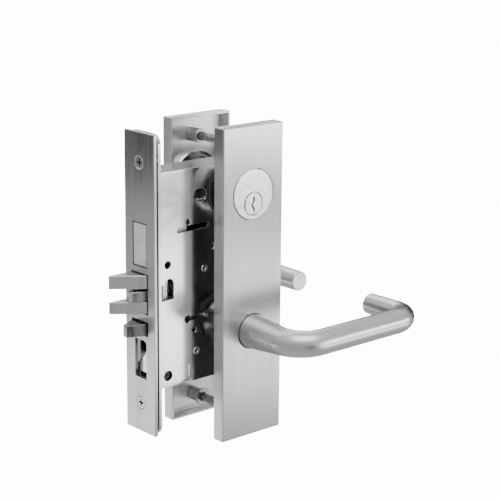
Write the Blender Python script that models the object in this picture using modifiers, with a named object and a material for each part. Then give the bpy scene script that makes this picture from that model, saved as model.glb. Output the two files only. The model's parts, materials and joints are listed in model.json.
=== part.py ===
"""Lever-handle mortise lock: a cased lock for a 45 mm door, with escutcheon trim on both sides.

Frame: X = 0 is the front face of the front plate and +X runs into the door, -Y is the
outside of the door, +Y the inside, and +Z is up. Z = 0 is the middle of the front plate
and Y = 0 the middle of the door. Sizes are in millimetres; the helpers turn them into metres.
"""
import math

import bmesh
import bpy
from mathutils import Matrix

MM = 0.001
GAP = 0.3                     # clearance left between pieces that touch on the real lock

# Front plates (edge of the door)
PLATE_HEIGHT = 203.2
PLATE_WIDTH = 31.75
PLATE_THICK = 2.3
ARMOR_FRONT = 3.3
ARMOR_THICK = 2.6
PLATE_SCREW_Z = 81.5
DOOR_SCREW_Z = 92.5

# Lock case
CASE_FRONT = 6.3
CASE_BACK = 104.8
CASE_TOP = 75.3
CASE_BOTTOM = -71.4
CASE_HALF = 10.7              # half of the case's thickness
WALL = 1.5
COVER_LEFT = 8.4
INNER_HALF = CASE_HALF - WALL

# Axes
BACKSET = 69.85
CYLINDER_Z = 56.65
PLUG_Z = 50.25
LEVER_Z = -37.9
POST_X = 68.0
POST_TOP_Z = 88.3
POST_BOTTOM_Z = -98.5

# Escutcheons
DOOR_HALF = 22.5
ESC_DEPTH = 9.7
ESC_FACE = DOOR_HALF + ESC_DEPTH
ESC_WIDTH = 51.4
ESC_TOP = 103.0
ESC_BOTTOM = -112.0
ESC_WALL = 1.6
ESC_FLOOR = ESC_FACE - ESC_WALL

# Levers
LEVER_REACH = 107.3           # from its axis to the middle of the return
LEVER_STANDOFF = 47.4         # from the escutcheon's face to the middle of the bar
LEVER_NECK_BEND = 19.0
LEVER_RETURN_BEND = 17.0
LEVER_END_GAP = 4.7           # from the escutcheon's face to the end of the return
NECK_RADIUS = 11.9
NECK_BEND_RADIUS = 9.5
BAR_RADIUS = 8.8
END_RADIUS = 7.5
SPINDLE_HALF = 3.95

# Bolts
DEADBOLT_THROW = 25.4
LATCH_THROW = 19.05
GUARD_REACH = 12.3
DEADBOLT_Z = (12.9, 41.4)
LATCH_Z = (-18.5, 7.6)
LATCH_SIDES = (8.9, -7.0)
TONGUE_SLOT_Z = (-10.3, -1.5)
GUARD_Z = (-33.4, -25.3)
LATCH_AXIS_Z = -5.45
GUARD_AXIS_Z = -29.35

# Pivots of the small levers: the tongue's in plan (x, y), the others in side view (x, z)
TONGUE_PIN = (10.0, 6.1)
DEADLOCK_PIVOT = (46.0, -21.0)
HUB_STOP_PIVOT = (29.0, -52.6)

# Openings in the front plate, as (y0, y1, z0, z1)
DEADBOLT_OPENING = (-7.6, 7.6, 12.3, 42.1)
LATCH_OPENING = (-8.9, 9.4, -19.0, 8.4)
GUARD_OPENING = (-8.6, 9.1, -33.9, -24.1)
WINDOW = (-6.6, 5.9, -63.9, -37.4)

# Drive levers inside the case
HUB_RADIUS = 10.6
HUB_ARM = 22.5
HUB_ARM_LEAN = math.radians(25)
TIP_RADIUS = 3.0
TURN_ARM = 17.96

ROUND = 24                    # steps of a full turn on middling pieces
FINE = 40
SMALL = 16


# ---------------------------------------------------------------- scene and materials

def clear_scene():
    for obj in list(bpy.data.objects):
        bpy.data.objects.remove(obj, do_unlink=True)


def new_collection(name):
    collection = bpy.data.collections.new(name)
    bpy.context.scene.collection.children.link(collection)
    return collection


clear_scene()
PARTS = new_collection("mortise_lock")
CUTTERS = new_collection("cutters")


def metal(name, colour, roughness):
    """A bare or plated metal, one per finish."""
    material = bpy.data.materials.new(name)
    material.use_nodes = True
    shader = material.node_tree.nodes["Principled BSDF"]
    shader.inputs["Base Color"].default_value = (*colour, 1.0)
    shader.inputs["Roughness"].default_value = roughness
    shader.inputs["Metallic"].default_value = 1.0
    return material


SATIN = metal("satin_stainless", (0.62, 0.62, 0.63), 0.34)
ZINC = metal("zinc_plated_steel", (0.74, 0.74, 0.75), 0.26)
BOLT = metal("bolt_stainless", (0.55, 0.55, 0.57), 0.38)
DARK = metal("dark_steel", (0.16, 0.16, 0.17), 0.42)
NICKEL = metal("satin_nickel", (0.70, 0.69, 0.67), 0.30)
SPRING = metal("spring_wire", (0.40, 0.40, 0.42), 0.35)
BRONZE = metal("sintered_bronze", (0.48, 0.36, 0.22), 0.50)


def place(name, mesh, material, smooth_angle=40):
    """Link a mesh as the named sub-part."""
    obj = bpy.data.objects.new(name, mesh)
    PARTS.objects.link(obj)
    mesh.materials.clear()
    mesh.materials.append(material)
    mesh.shade_smooth()
    mesh.set_sharp_from_angle(angle=math.radians(smooth_angle))
    return obj


def as_cutter(obj):
    """Move an object to the cutters, where the build leaves it out."""
    PARTS.objects.unlink(obj)
    CUTTERS.objects.link(obj)
    obj.hide_render = True
    obj.display_type = "WIRE"
    return obj


def boolean(obj, other, operation):
    modifier = obj.modifiers.new(operation.lower(), "BOOLEAN")
    modifier.operation = operation
    modifier.object = as_cutter(other)
    return obj


def cut(obj, *cutters):
    for cutter in cutters:
        boolean(obj, cutter, "DIFFERENCE")
    return obj


def join(obj, *others):
    for other in others:
        boolean(obj, other, "UNION")
    return obj


# ---------------------------------------------------------------- solids

def box(name, x, y, z, material, bevel=0.0):
    """A block between two corners, with its edges rounded where bevel says so."""
    low = [min(span) * MM for span in (x, y, z)]
    high = [max(span) * MM for span in (x, y, z)]
    size = [b - a for a, b in zip(low, high)]
    middle = [(a + b) / 2 for a, b in zip(low, high)]
    shape = bmesh.new()
    bmesh.ops.create_cube(shape, size=1.0, matrix=Matrix.Diagonal((*size, 1.0)))
    bmesh.ops.translate(shape, verts=shape.verts, vec=middle)
    mesh = bpy.data.meshes.new(name)
    shape.to_mesh(mesh)
    shape.free()
    obj = place(name, mesh, material)
    if bevel:
        modifier = obj.modifiers.new("rounded_edges", "BEVEL")
        modifier.width = bevel * MM
        modifier.segments = 2
    return obj


def axis_matrix(axis, at):
    """Turns local Z onto the world axis, and moves the axis to its two other coordinates."""
    first, second = (value * MM for value in at)
    if axis == "X":
        return Matrix.Translation((0, first, second)) @ Matrix.Rotation(math.radians(90), 4, "Y")
    if axis == "Y":
        return Matrix.Translation((first, 0, second)) @ Matrix.Rotation(math.radians(-90), 4, "X")
    return Matrix.Translation((first, second, 0))


def turned(name, axis, at, profile, material, steps=ROUND):
    """A turned piece from (radius, place on the axis) points.

    A profile that starts on the axis is solid; any other is closed into a ring. Its outer
    side runs from the high end of the axis to the low end.
    """
    mesh = bpy.data.meshes.new(name)
    points = [(radius * MM, 0.0, height * MM) for radius, height in profile]
    edges = [(i, i + 1) for i in range(len(points) - 1)]
    if profile[0][0] > 0:
        edges.append((len(points) - 1, 0))
    mesh.from_pydata(points, edges, [])
    obj = place(name, mesh, material)
    obj.matrix_world = axis_matrix(axis, at)
    screw = obj.modifiers.new("turned", "SCREW")
    screw.steps = steps
    screw.render_steps = steps
    screw.use_merge_vertices = True
    screw.merge_threshold = 0.00001
    screw.use_smooth_shade = True
    return obj


def rod(name, axis, at, radius, span, material, steps=ROUND):
    low, high = min(span), max(span)
    profile = [(0, high), (radius, high), (radius, low), (0, low)]
    return turned(name, axis, at, profile, material, steps)


def ring(name, axis, at, radii, span, material, steps=ROUND):
    inner, outer = radii
    low, high = min(span), max(span)
    profile = [(outer, high), (outer, low), (inner, low), (inner, high)]
    return turned(name, axis, at, profile, material, steps)


def arc(centre, radius, start, end, steps):
    """Points on an arc, with angles in degrees."""
    points = []
    for step in range(steps + 1):
        angle = math.radians(start + (end - start) * step / steps)
        points.append((centre[0] + radius * math.cos(angle), centre[1] + radius * math.sin(angle)))
    return points


def rectangle(u0, u1, v0, v1, radius=0.0, steps=4):
    if not radius:
        return [(u0, v0), (u1, v0), (u1, v1), (u0, v1)]
    corners = [((u1 - radius, v0 + radius), -90), ((u1 - radius, v1 - radius), 0),
               ((u0 + radius, v1 - radius), 90), ((u0 + radius, v0 + radius), 180)]
    points = []
    for centre, start in corners:
        points += arc(centre, radius, start, start + 90, steps)
    return points


def circle(centre, radius, steps=ROUND):
    return arc(centre, radius, 0, 360, steps)[:-1]


def slot(start, end, radius, steps=6):
    """A round-ended slot between two centres."""
    angle = math.degrees(math.atan2(end[1] - start[1], end[0] - start[0]))
    return (arc(end, radius, angle - 90, angle + 90, steps)
            + arc(start, radius, angle + 90, angle + 270, steps))


def teardrop(centre, radius, tip, tip_radius, steps=10):
    """The outline that wraps a big circle and a small one, as an arm on its boss."""
    run = math.dist(centre, tip)
    lean = math.degrees(math.atan2(tip[1] - centre[1], tip[0] - centre[0]))
    spread = math.degrees(math.acos((radius - tip_radius) / run))
    return (arc(centre, radius, lean + spread, lean + 360 - spread, 2 * steps)
            + arc(tip, tip_radius, lean - spread, lean + spread, steps))


PLANES = {
    # local X, Y and Z of a flat outline, in world axes
    "YZ": Matrix(((0, 0, 1, 0), (1, 0, 0, 0), (0, 1, 0, 0), (0, 0, 0, 1))),
    "XZ": Matrix(((1, 0, 0, 0), (0, 0, -1, 0), (0, 1, 0, 0), (0, 0, 0, 1))),
    "XY": Matrix.Identity(4),
}


def from_curve(curve, name, matrix, material, smooth_angle=40):
    """The curve's evaluated shape as a welded mesh, so that it can be cut and joined."""
    guide = bpy.data.objects.new(name + "_curve", curve)
    bpy.context.scene.collection.objects.link(guide)
    guide.matrix_world = matrix
    bpy.context.view_layer.update()
    evaluated = guide.evaluated_get(bpy.context.evaluated_depsgraph_get())
    mesh = bpy.data.meshes.new_from_object(evaluated)
    mesh.name = name
    shape = bmesh.new()
    shape.from_mesh(mesh)
    bmesh.ops.remove_doubles(shape, verts=shape.verts, dist=0.000002)
    shape.to_mesh(mesh)
    shape.free()
    obj = place(name, mesh, material, smooth_angle)
    obj.matrix_world = matrix
    bpy.data.objects.remove(guide, do_unlink=True)
    return obj


def plate(name, plane, span, outline, holes, material):
    """A flat piece: an outline with holes in a plane, thick between the two values of span."""
    curve = bpy.data.curves.new(name, "CURVE")
    curve.dimensions = "2D"
    curve.fill_mode = "BOTH"
    curve.extrude = abs(span[1] - span[0]) / 2 * MM
    for points in [outline, *holes]:
        spline = curve.splines.new("POLY")
        spline.points.add(len(points) - 1)
        for point, (u, v) in zip(spline.points, points):
            point.co = (u * MM, v * MM, 0, 1)
        spline.use_cyclic_u = True
    normal = {"YZ": (1, 0, 0), "XZ": (0, 1, 0), "XY": (0, 0, 1)}[plane]
    middle = (span[0] + span[1]) / 2 * MM
    shift = Matrix.Translation([middle * part for part in normal])
    return from_curve(curve, name, shift @ PLANES[plane], material)


def wire(name, points, radii, material, bevel_resolution=2, smooth_angle=60):
    """A round bar along points, with its own radius at each."""
    curve = bpy.data.curves.new(name, "CURVE")
    curve.dimensions = "3D"
    curve.bevel_depth = MM
    curve.bevel_resolution = bevel_resolution
    curve.use_fill_caps = True
    spline = curve.splines.new("POLY")
    spline.points.add(len(points) - 1)
    for point, (x, y, z), radius in zip(spline.points, points, radii):
        point.co = (x * MM, y * MM, z * MM, 1)
        point.radius = radius
    return from_curve(curve, name, Matrix.Identity(4), material, smooth_angle)


def coil(name, axis, at, span, radius, wire_radius, turns, material, steps=10):
    """A helical spring about an axis."""
    count = int(turns * steps)
    points = []
    for i in range(count + 1):
        angle = 2 * math.pi * i / steps
        along = span[0] + (span[1] - span[0]) * i / count
        u = at[0] + radius * math.cos(angle)
        v = at[1] + radius * math.sin(angle)
        points.append((along, u, v) if axis == "X" else (u, along, v))
    return wire(name, points, [wire_radius] * len(points), material)


def cross_recess(name, axis, at, face, depth, size):
    """The two crossed blades that cut a screw's cross recess; face is where the head ends."""
    width = size * 0.24
    inward = face + depth
    spans = []
    for long_side, short_side in ((size, width), (width, size)):
        first = (at[0] - long_side / 2, at[0] + long_side / 2)
        second = (at[1] - short_side / 2, at[1] + short_side / 2)
        spans.append((first, second))
    blades = []
    for i, (first, second) in enumerate(spans):
        sides = {"X": ((face - depth, inward), first, second),
                 "Y": (first, (face - depth, inward), second)}[axis]
        blades.append(box(f"{name}_blade_{i}", *sides, DARK))
    return blades


# ---------------------------------------------------------------- front of the lock

def front_openings(grow):
    """The three bolt openings, each wider all round by grow."""
    openings = []
    for y0, y1, z0, z1 in (DEADBOLT_OPENING, LATCH_OPENING, GUARD_OPENING):
        openings.append(rectangle(y0 - grow, y1 + grow, z0 - grow, z1 + grow))
    return openings


def build_front_plate():
    y0, y1, z0, z1 = WINDOW
    window = [(y0, z0), (y1, z0), (y1, z1)] + arc((y0 + 3, z1 - 3), 3, 90, 180, 4)
    half = PLATE_WIDTH / 2
    outline = rectangle(-half, half, -PLATE_HEIGHT / 2, PLATE_HEIGHT / 2)
    screw_holes = [circle((0, side * PLATE_SCREW_Z), 2.5) for side in (-1, 1)]
    front = plate("front_plate", "YZ", (0, PLATE_THICK), outline,
                  front_openings(0) + [window] + screw_holes, SATIN)
    for side in (-1, 1):
        sink = turned(f"sink_{side}", "X", (0, side * PLATE_SCREW_Z),
                      [(0, 2.25), (2.5, 2.25), (5.25, -0.5), (0, -0.5)], SATIN)
        cut(front, sink)


def build_armor_plate():
    half = PLATE_WIDTH / 2
    outline = rectangle(-half, half, -PLATE_HEIGHT / 2, PLATE_HEIGHT / 2, 7.0, 6)
    top = WINDOW[3] + 0.6
    window = [(8.7, -59.0), (8.7, top), (-8.7, top), (-8.7, -41.8), (-4.0, -41.8)]
    low_slot = rectangle(-8.7, 8.7, WINDOW[2] - 0.6, -61.0)
    holes = [circle((0, side * z), radius, SMALL)
             for side in (-1, 1) for z, radius in ((PLATE_SCREW_Z, 2.4), (DOOR_SCREW_Z, 2.9))]
    plate("armor_plate", "YZ", (ARMOR_FRONT, ARMOR_FRONT + ARMOR_THICK), outline,
          front_openings(0.2) + [window, low_slot] + holes, ZINC)


def build_front_screws():
    for word, side in (("top", 1), ("bottom", -1)):
        at = (0, side * PLATE_SCREW_Z)
        profile = [(0, 13.0), (1.4, 13.0), (2.0, 12.2), (2.0, 2.5), (4.2, 0.35), (4.2, 0.15), (0, 0.15)]
        screw = turned(f"front_screw_{word}", "X", at, profile, NICKEL, ROUND)
        cut(screw, *cross_recess(f"front_screw_{word}", "X", at, 0.15, 1.3, 4.6))


# ---------------------------------------------------------------- case

def build_case_box():
    """The pan: back wall of the case with its rim, and the front wall with its two lugs."""
    shell = box("case_box", (CASE_FRONT, CASE_BACK), (-INNER_HALF + GAP, CASE_HALF),
                (CASE_BOTTOM, CASE_TOP), ZINC)
    front_wall = CASE_FRONT + 1.6
    pocket = box("case_pocket", (front_wall, CASE_BACK - 1.6), (-30, INNER_HALF),
                 (CASE_BOTTOM + 1.6, CASE_TOP - 1.6), ZINC)
    cut(shell, pocket)
    lug_holes = [circle((0, side * z), radius, SMALL)
                 for side in (-1, 1) for z, radius in ((PLATE_SCREW_Z, 2.4), (DOOR_SCREW_Z, 2.7))]
    lugs = plate("case_lugs", "YZ", (CASE_FRONT, front_wall),
                 rectangle(-CASE_HALF + GAP, CASE_HALF - 0.1, -98.5, 98.5, 4.0), lug_holes, ZINC)
    join(shell, lugs)
    y0, y1, z0, z1 = LATCH_OPENING
    openings = [DEADBOLT_OPENING, (y0, y1, z0, z1), GUARD_OPENING, (-8.7, 8.7, WINDOW[2] - 0.6, WINDOW[3] + 0.6)]
    for i, (a, b, c, d) in enumerate(openings):
        cut(shell, box(f"front_opening_{i}", (0, 12), (a - 0.1, b + 0.1), (c - 0.1, d + 0.1), ZINC))
    cut(shell, rod("back_cylinder_hole", "Y", (BACKSET, CYLINDER_Z), 15.1, (5, 20), ZINC, FINE),
        rod("back_hub_hole", "Y", (BACKSET, LEVER_Z), HUB_RADIUS + 0.4, (5, 20), ZINC, FINE))


def build_case_cover():
    left, right = COVER_LEFT, CASE_BACK
    notch = 0.8
    outline = [(left, CASE_BOTTOM), (24.7, CASE_BOTTOM)]
    outline += [(26.4, -69.6), (28.4, -68.9), (33.2, -68.9), (34.6, -69.6), (35.4, CASE_BOTTOM)]
    outline += [(right, CASE_BOTTOM), (right, CASE_TOP), (left, CASE_TOP)]
    outline += [(left, 73.6), (left + notch, 73.6), (left + notch, 70.4), (left, 70.4)]
    outline += [(left, -0.6), (12.4, -0.6)]
    outline += arc((16.1, -0.4), 3.7, 180, 0, 6)
    outline += [(19.8, -10.6), (left, -11.2)]
    holes = [
        circle((BACKSET, CYLINDER_Z), 15.1, FINE),
        circle((BACKSET, LEVER_Z), HUB_RADIUS + 0.4, FINE),
        circle((31.8, 39.4), 2.1, SMALL),
        circle((14.8, 13.0), 2.6, SMALL),
        slot((24.4, 34.8), (47.0, 35.6), 1.9),
        rectangle(36.9, 47.0, 52.3, 60.6, 3.6),
        slot((35.0, -27.0), (48.5, -26.0), 1.55),
        circle((36.7, -35.5), 2.0, SMALL),
        circle((14.8, -63.4), 3.45, SMALL),
        circle((97.0, 67.0), 2.3, SMALL),
        circle((97.0, -63.0), 2.3, SMALL),
        circle((39.0, -50.8), 1.2, 10),
    ]
    cover = plate("case_cover", "XZ", (-CASE_HALF, -INNER_HALF), outline, holes, ZINC)
    cut(cover, rod("keyhole_eye", "Y", (31.6, -27.3), 2.7, (-14, -6), ZINC, SMALL),
        box("keyhole_neck", (32.0, 36.0), (-14, -6), (-28.4, -25.5), ZINC))


def build_case_fasteners():
    """Posts between the two sides of the case, each with the screw that holds the cover."""
    places = {"front": (14.8, -63.4), "top": (97.0, 67.0), "bottom": (97.0, -63.0)}
    for word, at in places.items():
        inset = 1.0 if word == "front" else 0.0
        post_face = -INNER_HALF + GAP + inset
        post = rod(f"case_post_{word}", "Y", at, 4.2, (post_face, INNER_HALF - GAP), DARK)
        cut(post, rod(f"case_post_{word}_bore", "Y", at, 1.9, (post_face - 1, 5), DARK, SMALL))
        head = 3.1 if word == "front" else 3.6
        face = post_face - GAP - 1.6 if word == "front" else -CASE_HALF - 1.9
        under = face + 1.6
        profile = [(0, 3.5), (1.55, 3.5), (1.55, under), (head, under), (head, face + 0.4),
                   (head - 0.5, face), (0, face)]
        screw = turned(f"case_screw_{word}", "Y", at, profile, NICKEL, SMALL)
        cut(screw, *cross_recess(f"case_screw_{word}", "Y", at, face, 0.9, 4.0))


def build_support_ring():
    """Flat ring round the cylinder's hole, on the outside of the cover."""
    ring("cylinder_support_ring", "Y", (BACKSET, CYLINDER_Z), (15.3, 20.6),
         (-CASE_HALF - GAP - 1.0, -CASE_HALF - GAP), DARK, FINE)


def build_cylinder_set_screw():
    """Long screw that runs from behind the front plate to the cylinder, with its boss in the cover's slot."""
    profile = [(0, 55.0), (1.0, 55.0), (1.9, 53.8), (1.9, 45.6), (3.6, 45.6), (3.6, 44.2), (3.0, 44.2),
               (3.0, 38.0), (1.9, 38.0), (1.9, 9.0), (0, 9.0)]
    turned("cylinder_set_screw", "X", (-6.8, CYLINDER_Z), profile, DARK, SMALL)


# ---------------------------------------------------------------- bolts

def build_deadbolt():
    """Square bolt, its flat tail, the tail's guide slot and the slot for the drive pin."""
    bolt = box("deadbolt", (0.2, 34), (-6.9, 6.9), DEADBOLT_Z, BOLT)
    pin_x = BACKSET + TURN_ARM * math.sin(math.radians(45))
    outline = [(30, 33), (89, 33), (89, 49.5), (35.6, 49.5), (35.6, 41.0), (30, 41.0)]
    tail = plate("deadbolt_tail", "XZ", (2.0, 5.0), outline,
                 [slot((45.0, 39.4), (45.0 + DEADBOLT_THROW, 39.4), 2.9),
                  rectangle(pin_x - 3.4, pin_x + 3.4, 35.6, 47.2, 2.5)], BOLT)
    join(bolt, tail)
    rod("deadbolt_guide_post", "Y", (45.0, 39.4), 2.4, (-INNER_HALF + GAP, INNER_HALF - GAP), DARK, SMALL)


def latch_profile():
    """Plan of the latch head: flat on the inside, bevelled from the tip to the outside."""
    inside, outside = LATCH_SIDES
    return [(-19.0, inside - 0.5), (-18.6, inside), (17.3, inside), (17.3, outside), (0.3, outside)]


def build_latch():
    head = plate("latch_bolt", "XY", LATCH_Z, latch_profile(), [], BOLT)
    cut(head, box("tongue_slot", (-30, 13.3), (-20, 20), TONGUE_SLOT_Z, BOLT))
    tail = turned("latch_tail", "X", (0, LATCH_AXIS_Z), [(0, 74), (2.4, 74), (3, 73.4), (3, 15), (0, 15)],
                  BOLT, SMALL)
    tip_x = BACKSET - HUB_ARM * math.sin(HUB_ARM_LEAN)
    hook = box("latch_hook", (tip_x + TIP_RADIUS + 0.4, tip_x + TIP_RADIUS + 5.0), (-6.4, 1.0),
               (-18.8, LATCH_AXIS_Z), BOLT)
    join(head, tail, hook)
    cut(head, rod("tongue_pin_hole", "Z", TONGUE_PIN, 1.5, (-15.0, 3.0), BOLT, SMALL))
    tongue_low = TONGUE_SLOT_Z[0] + 0.4
    tongue_high = TONGUE_SLOT_Z[1] - 1.6
    outline = [(-9.4, 2.0)] + arc((-7.4, -1.4), 2.0, 180, 246, 5)
    outline += [(0.6, -6.8), (12.1, -6.8), (12.1, 8.4), (6.5, 8.4)]
    plate("latch_tongue", "XY", (tongue_low, tongue_high), outline,
          [circle(TONGUE_PIN, 1.5, SMALL)], BOLT)
    rod("tongue_pin", "Z", TONGUE_PIN, 1.15, (-14.5, 2.5), DARK, SMALL)


def build_latch_guide():
    """Bent plate that carries the latch's tail, and the spring between it and the latch."""
    guide = box("latch_guide", (52.0, 54.2), (-8.6, INNER_HALF - GAP), (-13.6, 3.4), ZINC)
    foot = box("latch_guide_foot", (52.0, 62.0), (7.3, INNER_HALF - GAP), (-13.6, 3.4), ZINC)
    join(guide, foot)
    cut(guide, rod("latch_guide_hole", "X", (0, LATCH_AXIS_Z), 3.4, (50, 56), ZINC, SMALL))
    coil("latch_spring", "X", (0, LATCH_AXIS_Z), (18.7, 50.6), 4.9, 0.75, 7, SPRING)


def build_guard_latch():
    """Auxiliary latch under the main one, with bevels on both sides, its guide and its spring."""
    nose, inside, outside = 2.0, 8.8, -7.0
    outline = [(-GUARD_REACH, nose), (0.6, inside), (14.0, inside), (14.0, outside), (0.6, outside),
               (-GUARD_REACH, -nose)]
    head = plate("guard_latch", "XY", GUARD_Z, outline, [], BOLT)
    join(head, rod("guard_tail", "X", (0, GUARD_AXIS_Z), 2.4, (12, 42), BOLT, SMALL))
    guide = box("guard_guide", (35.2, 37.2), (-8.6, INNER_HALF - GAP), (-33.6, -25.0), ZINC)
    cut(guide, rod("guard_guide_hole", "X", (0, GUARD_AXIS_Z), 2.8, (34, 39), ZINC, SMALL))
    coil("guard_spring", "X", (0, GUARD_AXIS_Z), (15.1, 34.0), 3.9, 0.6, 6, SPRING)


def build_deadlock_lever():
    """Small dog that the auxiliary latch lifts behind the latch's tail."""
    pin = DEADLOCK_PIVOT
    lever = plate("deadlock_lever", "XZ", (2.4, 4.6), teardrop(pin, 3.6, (42.4, -17.4), 1.8),
                  [circle(pin, 1.9, SMALL)], ZINC)
    finger = plate("deadlock_finger", "XZ", (2.4, 4.6), rectangle(42.9, 45.3, -25.6, -20.5), [], ZINC)
    join(lever, finger)
    cut(lever, rod("deadlock_bore", "Y", pin, 1.9, (0, 8), ZINC, SMALL))
    rod("deadlock_pin", "Y", pin, 1.5, (-INNER_HALF + GAP, INNER_HALF - GAP), DARK, SMALL)


def build_hub_stop():
    """Bent rocker behind the window of the front plate, for the button that locks the hub."""
    pin = HUB_STOP_PIVOT
    ramp = [(9.0, -57.4), (9.0, -55.8), (13.8, -51.9), (29.0, -51.2), (29.0, -54.0), (14.6, -53.4)]
    rocker = plate("hub_stop", "XZ", (-8.2, 8.2), ramp[::-1], [], ZINC)
    join(rocker, rod("hub_stop_barrel", "Y", pin, 3.2, (-8.2, 8.2), ZINC, SMALL))
    arm = plate("hub_stop_arm", "XZ", (-8.2, -6.0), teardrop(pin, 3.0, (54.0, -46.0), 1.8), [], ZINC)
    join(rocker, arm)
    cut(rocker, rod("hub_stop_bore", "Y", pin, 1.9, (-20, 20), ZINC, SMALL))
    rod("hub_stop_pin", "Y", pin, 1.5, (-INNER_HALF + GAP, INNER_HALF - GAP), DARK, SMALL)


# ---------------------------------------------------------------- trim, the same on both sides

def build_escutcheon(word, side):
    """Shallow pan with its face away from the door; side is -1 outside and +1 inside."""
    face, rim, floor = side * ESC_FACE, side * DOOR_HALF, side * ESC_FLOOR
    x0, x1 = BACKSET - ESC_WIDTH / 2, BACKSET + ESC_WIDTH / 2
    pan = box(f"{word}_escutcheon", (x0, x1), (face, rim), (ESC_BOTTOM, ESC_TOP), SATIN, 0.6)
    hollow = box(f"{word}_hollow", (x0 + ESC_WALL, x1 - ESC_WALL), (floor, rim - side * 5),
                 (ESC_BOTTOM + ESC_WALL, ESC_TOP - ESC_WALL), SATIN)
    cut(pan, hollow, rod(f"{word}_lever_hole", "Y", (BACKSET, LEVER_Z), NECK_RADIUS + 0.4,
                         (face + side * 5, floor - side * 1), SATIN, FINE))
    return pan


def build_outside_trim():
    pan = build_escutcheon("outside", -1)
    cut(pan, rod("outside_cylinder_hole", "Y", (BACKSET, CYLINDER_Z), 17.55, (-40, -28), SATIN, FINE))


def build_inside_trim():
    pan = build_escutcheon("inside", 1)
    cut(pan, rod("inside_turn_hole", "Y", (BACKSET, CYLINDER_Z), 4.6, (28, 40), SATIN))
    for z in (POST_TOP_Z, POST_BOTTOM_Z):
        sink = [(0, 36), (9.1, 36), (3.5, 30.4), (3.5, 28), (0, 28)]
        cut(pan, turned(f"bolt_sink_{z:.0f}", "Y", (POST_X, z), sink, SATIN))


def build_posts():
    """Threaded bosses on both escutcheons, and the through bolts that pull them together."""
    for word, z in (("top", POST_TOP_Z), ("bottom", POST_BOTTOM_Z)):
        at = (POST_X, z)
        flange = 4.9 if word == "top" else 6.2
        near = 20.2 if word == "top" else 18.0
        base = ESC_FLOOR - GAP
        inside = [(4.9, base), (4.9, near + 1.8), (flange, near + 1.8), (flange, near), (3.25, near), (3.25, base)]
        turned(f"inside_post_{word}", "Y", at, inside, DARK)
        outside = [(5.2, -17.0), (5.2, -base), (3.25, -base), (3.25, -17.0)]
        turned(f"outside_post_{word}", "Y", at, outside, DARK)
        bolt = [(0, 33.3), (2.8, 33.2), (5.0, 32.3), (2.9, 30.1), (2.9, -29.6), (0, -29.6)]
        screw = turned(f"through_bolt_{word}", "Y", at, bolt, DARK)
        cut(screw, *cross_recess(f"through_bolt_{word}", "Y", at, 33.3, 1.4, 4.6))


def lever_path(side):
    """Centre line and radii: neck, bend, bar, return bend and return, in the plane of the lever's axis."""
    start = side * (ESC_FLOOR - 6.6)
    face = side * ESC_FACE
    bar_y = side * (ESC_FACE + LEVER_STANDOFF)
    end_y = side * (ESC_FACE + LEVER_END_GAP)
    bend, turn = LEVER_NECK_BEND, LEVER_RETURN_BEND
    end_x = BACKSET + LEVER_REACH
    points = [(BACKSET, start), (BACKSET, face)]
    radii = [NECK_RADIUS, NECK_RADIUS]
    straight = LEVER_STANDOFF - bend
    for step in (0.35, 0.7):
        points.append((BACKSET, face + side * straight * step))
        radii.append(NECK_RADIUS + (NECK_BEND_RADIUS - NECK_RADIUS) * step)
    for step in range(9):
        angle = math.radians(90 * step / 8)
        points.append((BACKSET + bend - bend * math.cos(angle), bar_y - side * bend + side * bend * math.sin(angle)))
        radii.append(NECK_BEND_RADIUS + (BAR_RADIUS - NECK_BEND_RADIUS) * step / 8)
    points.append(((BACKSET + bend + end_x - turn) / 2, bar_y))
    radii.append(BAR_RADIUS)
    for step in range(9):
        angle = math.radians(90 * step / 8)
        points.append((end_x - turn + turn * math.sin(angle), bar_y - side * turn + side * turn * math.cos(angle)))
        radii.append(BAR_RADIUS + (END_RADIUS - BAR_RADIUS) * step / 12)
    points.append((end_x, end_y))
    radii.append(END_RADIUS)
    return [(x, y, LEVER_Z) for x, y in points], radii


def build_lever(word, side):
    """Lever with its square spindle, the hub that the spindle turns, a retaining ring and a set screw."""
    points, radii = lever_path(side)
    lever = wire(f"{word}_lever", points, radii, SATIN, 6, 50)
    inner = side * (ESC_FLOOR - 6.6)
    half = SPINDLE_HALF + 0.3
    socket = box(f"{word}_socket", (BACKSET - half, BACKSET + half), (inner - side * 4, side * 41.5),
                 (LEVER_Z - half, LEVER_Z + half), SATIN)
    set_y = side * 36.6
    bore = rod(f"{word}_set_bore", "Z", (BACKSET, set_y), 2.3, (LEVER_Z - 14, LEVER_Z), SATIN, SMALL)
    cut(lever, socket, bore)
    screw = rod(f"{word}_set_screw", "Z", (BACKSET, set_y), 2.0, (LEVER_Z - 10.9, LEVER_Z - half), DARK, SMALL)
    hexagon = rod(f"{word}_set_hexagon", "Z", (BACKSET, set_y), 1.1, (LEVER_Z - 13, LEVER_Z - 8.9), DARK, 6)
    cut(screw, hexagon)
    box(f"{word}_spindle", (BACKSET - SPINDLE_HALF, BACKSET + SPINDLE_HALF), (side * 0.7, side * 41.0),
        (LEVER_Z - SPINDLE_HALF, LEVER_Z + SPINDLE_HALF), ZINC)
    ring(f"{word}_bushing", "Y", (BACKSET, LEVER_Z), (NECK_RADIUS + 0.4, 14.0),
         (side * (ESC_FLOOR - GAP), side * 25.2), BRONZE, FINE)
    washer = [circle((BACKSET, LEVER_Z), 14.6, ROUND)]
    hole = rectangle(BACKSET - half, BACKSET + half, LEVER_Z - half, LEVER_Z + half)
    plate(f"{word}_retainer", "XZ", (side * 23.6, side * 22.2), washer[0], [hole], ZINC)
    coil(f"{word}_lever_spring", "Y", (BACKSET, LEVER_Z), (side * 29.5, side * 25.7), 16.4, 0.45, 3, SPRING, 16)


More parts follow.
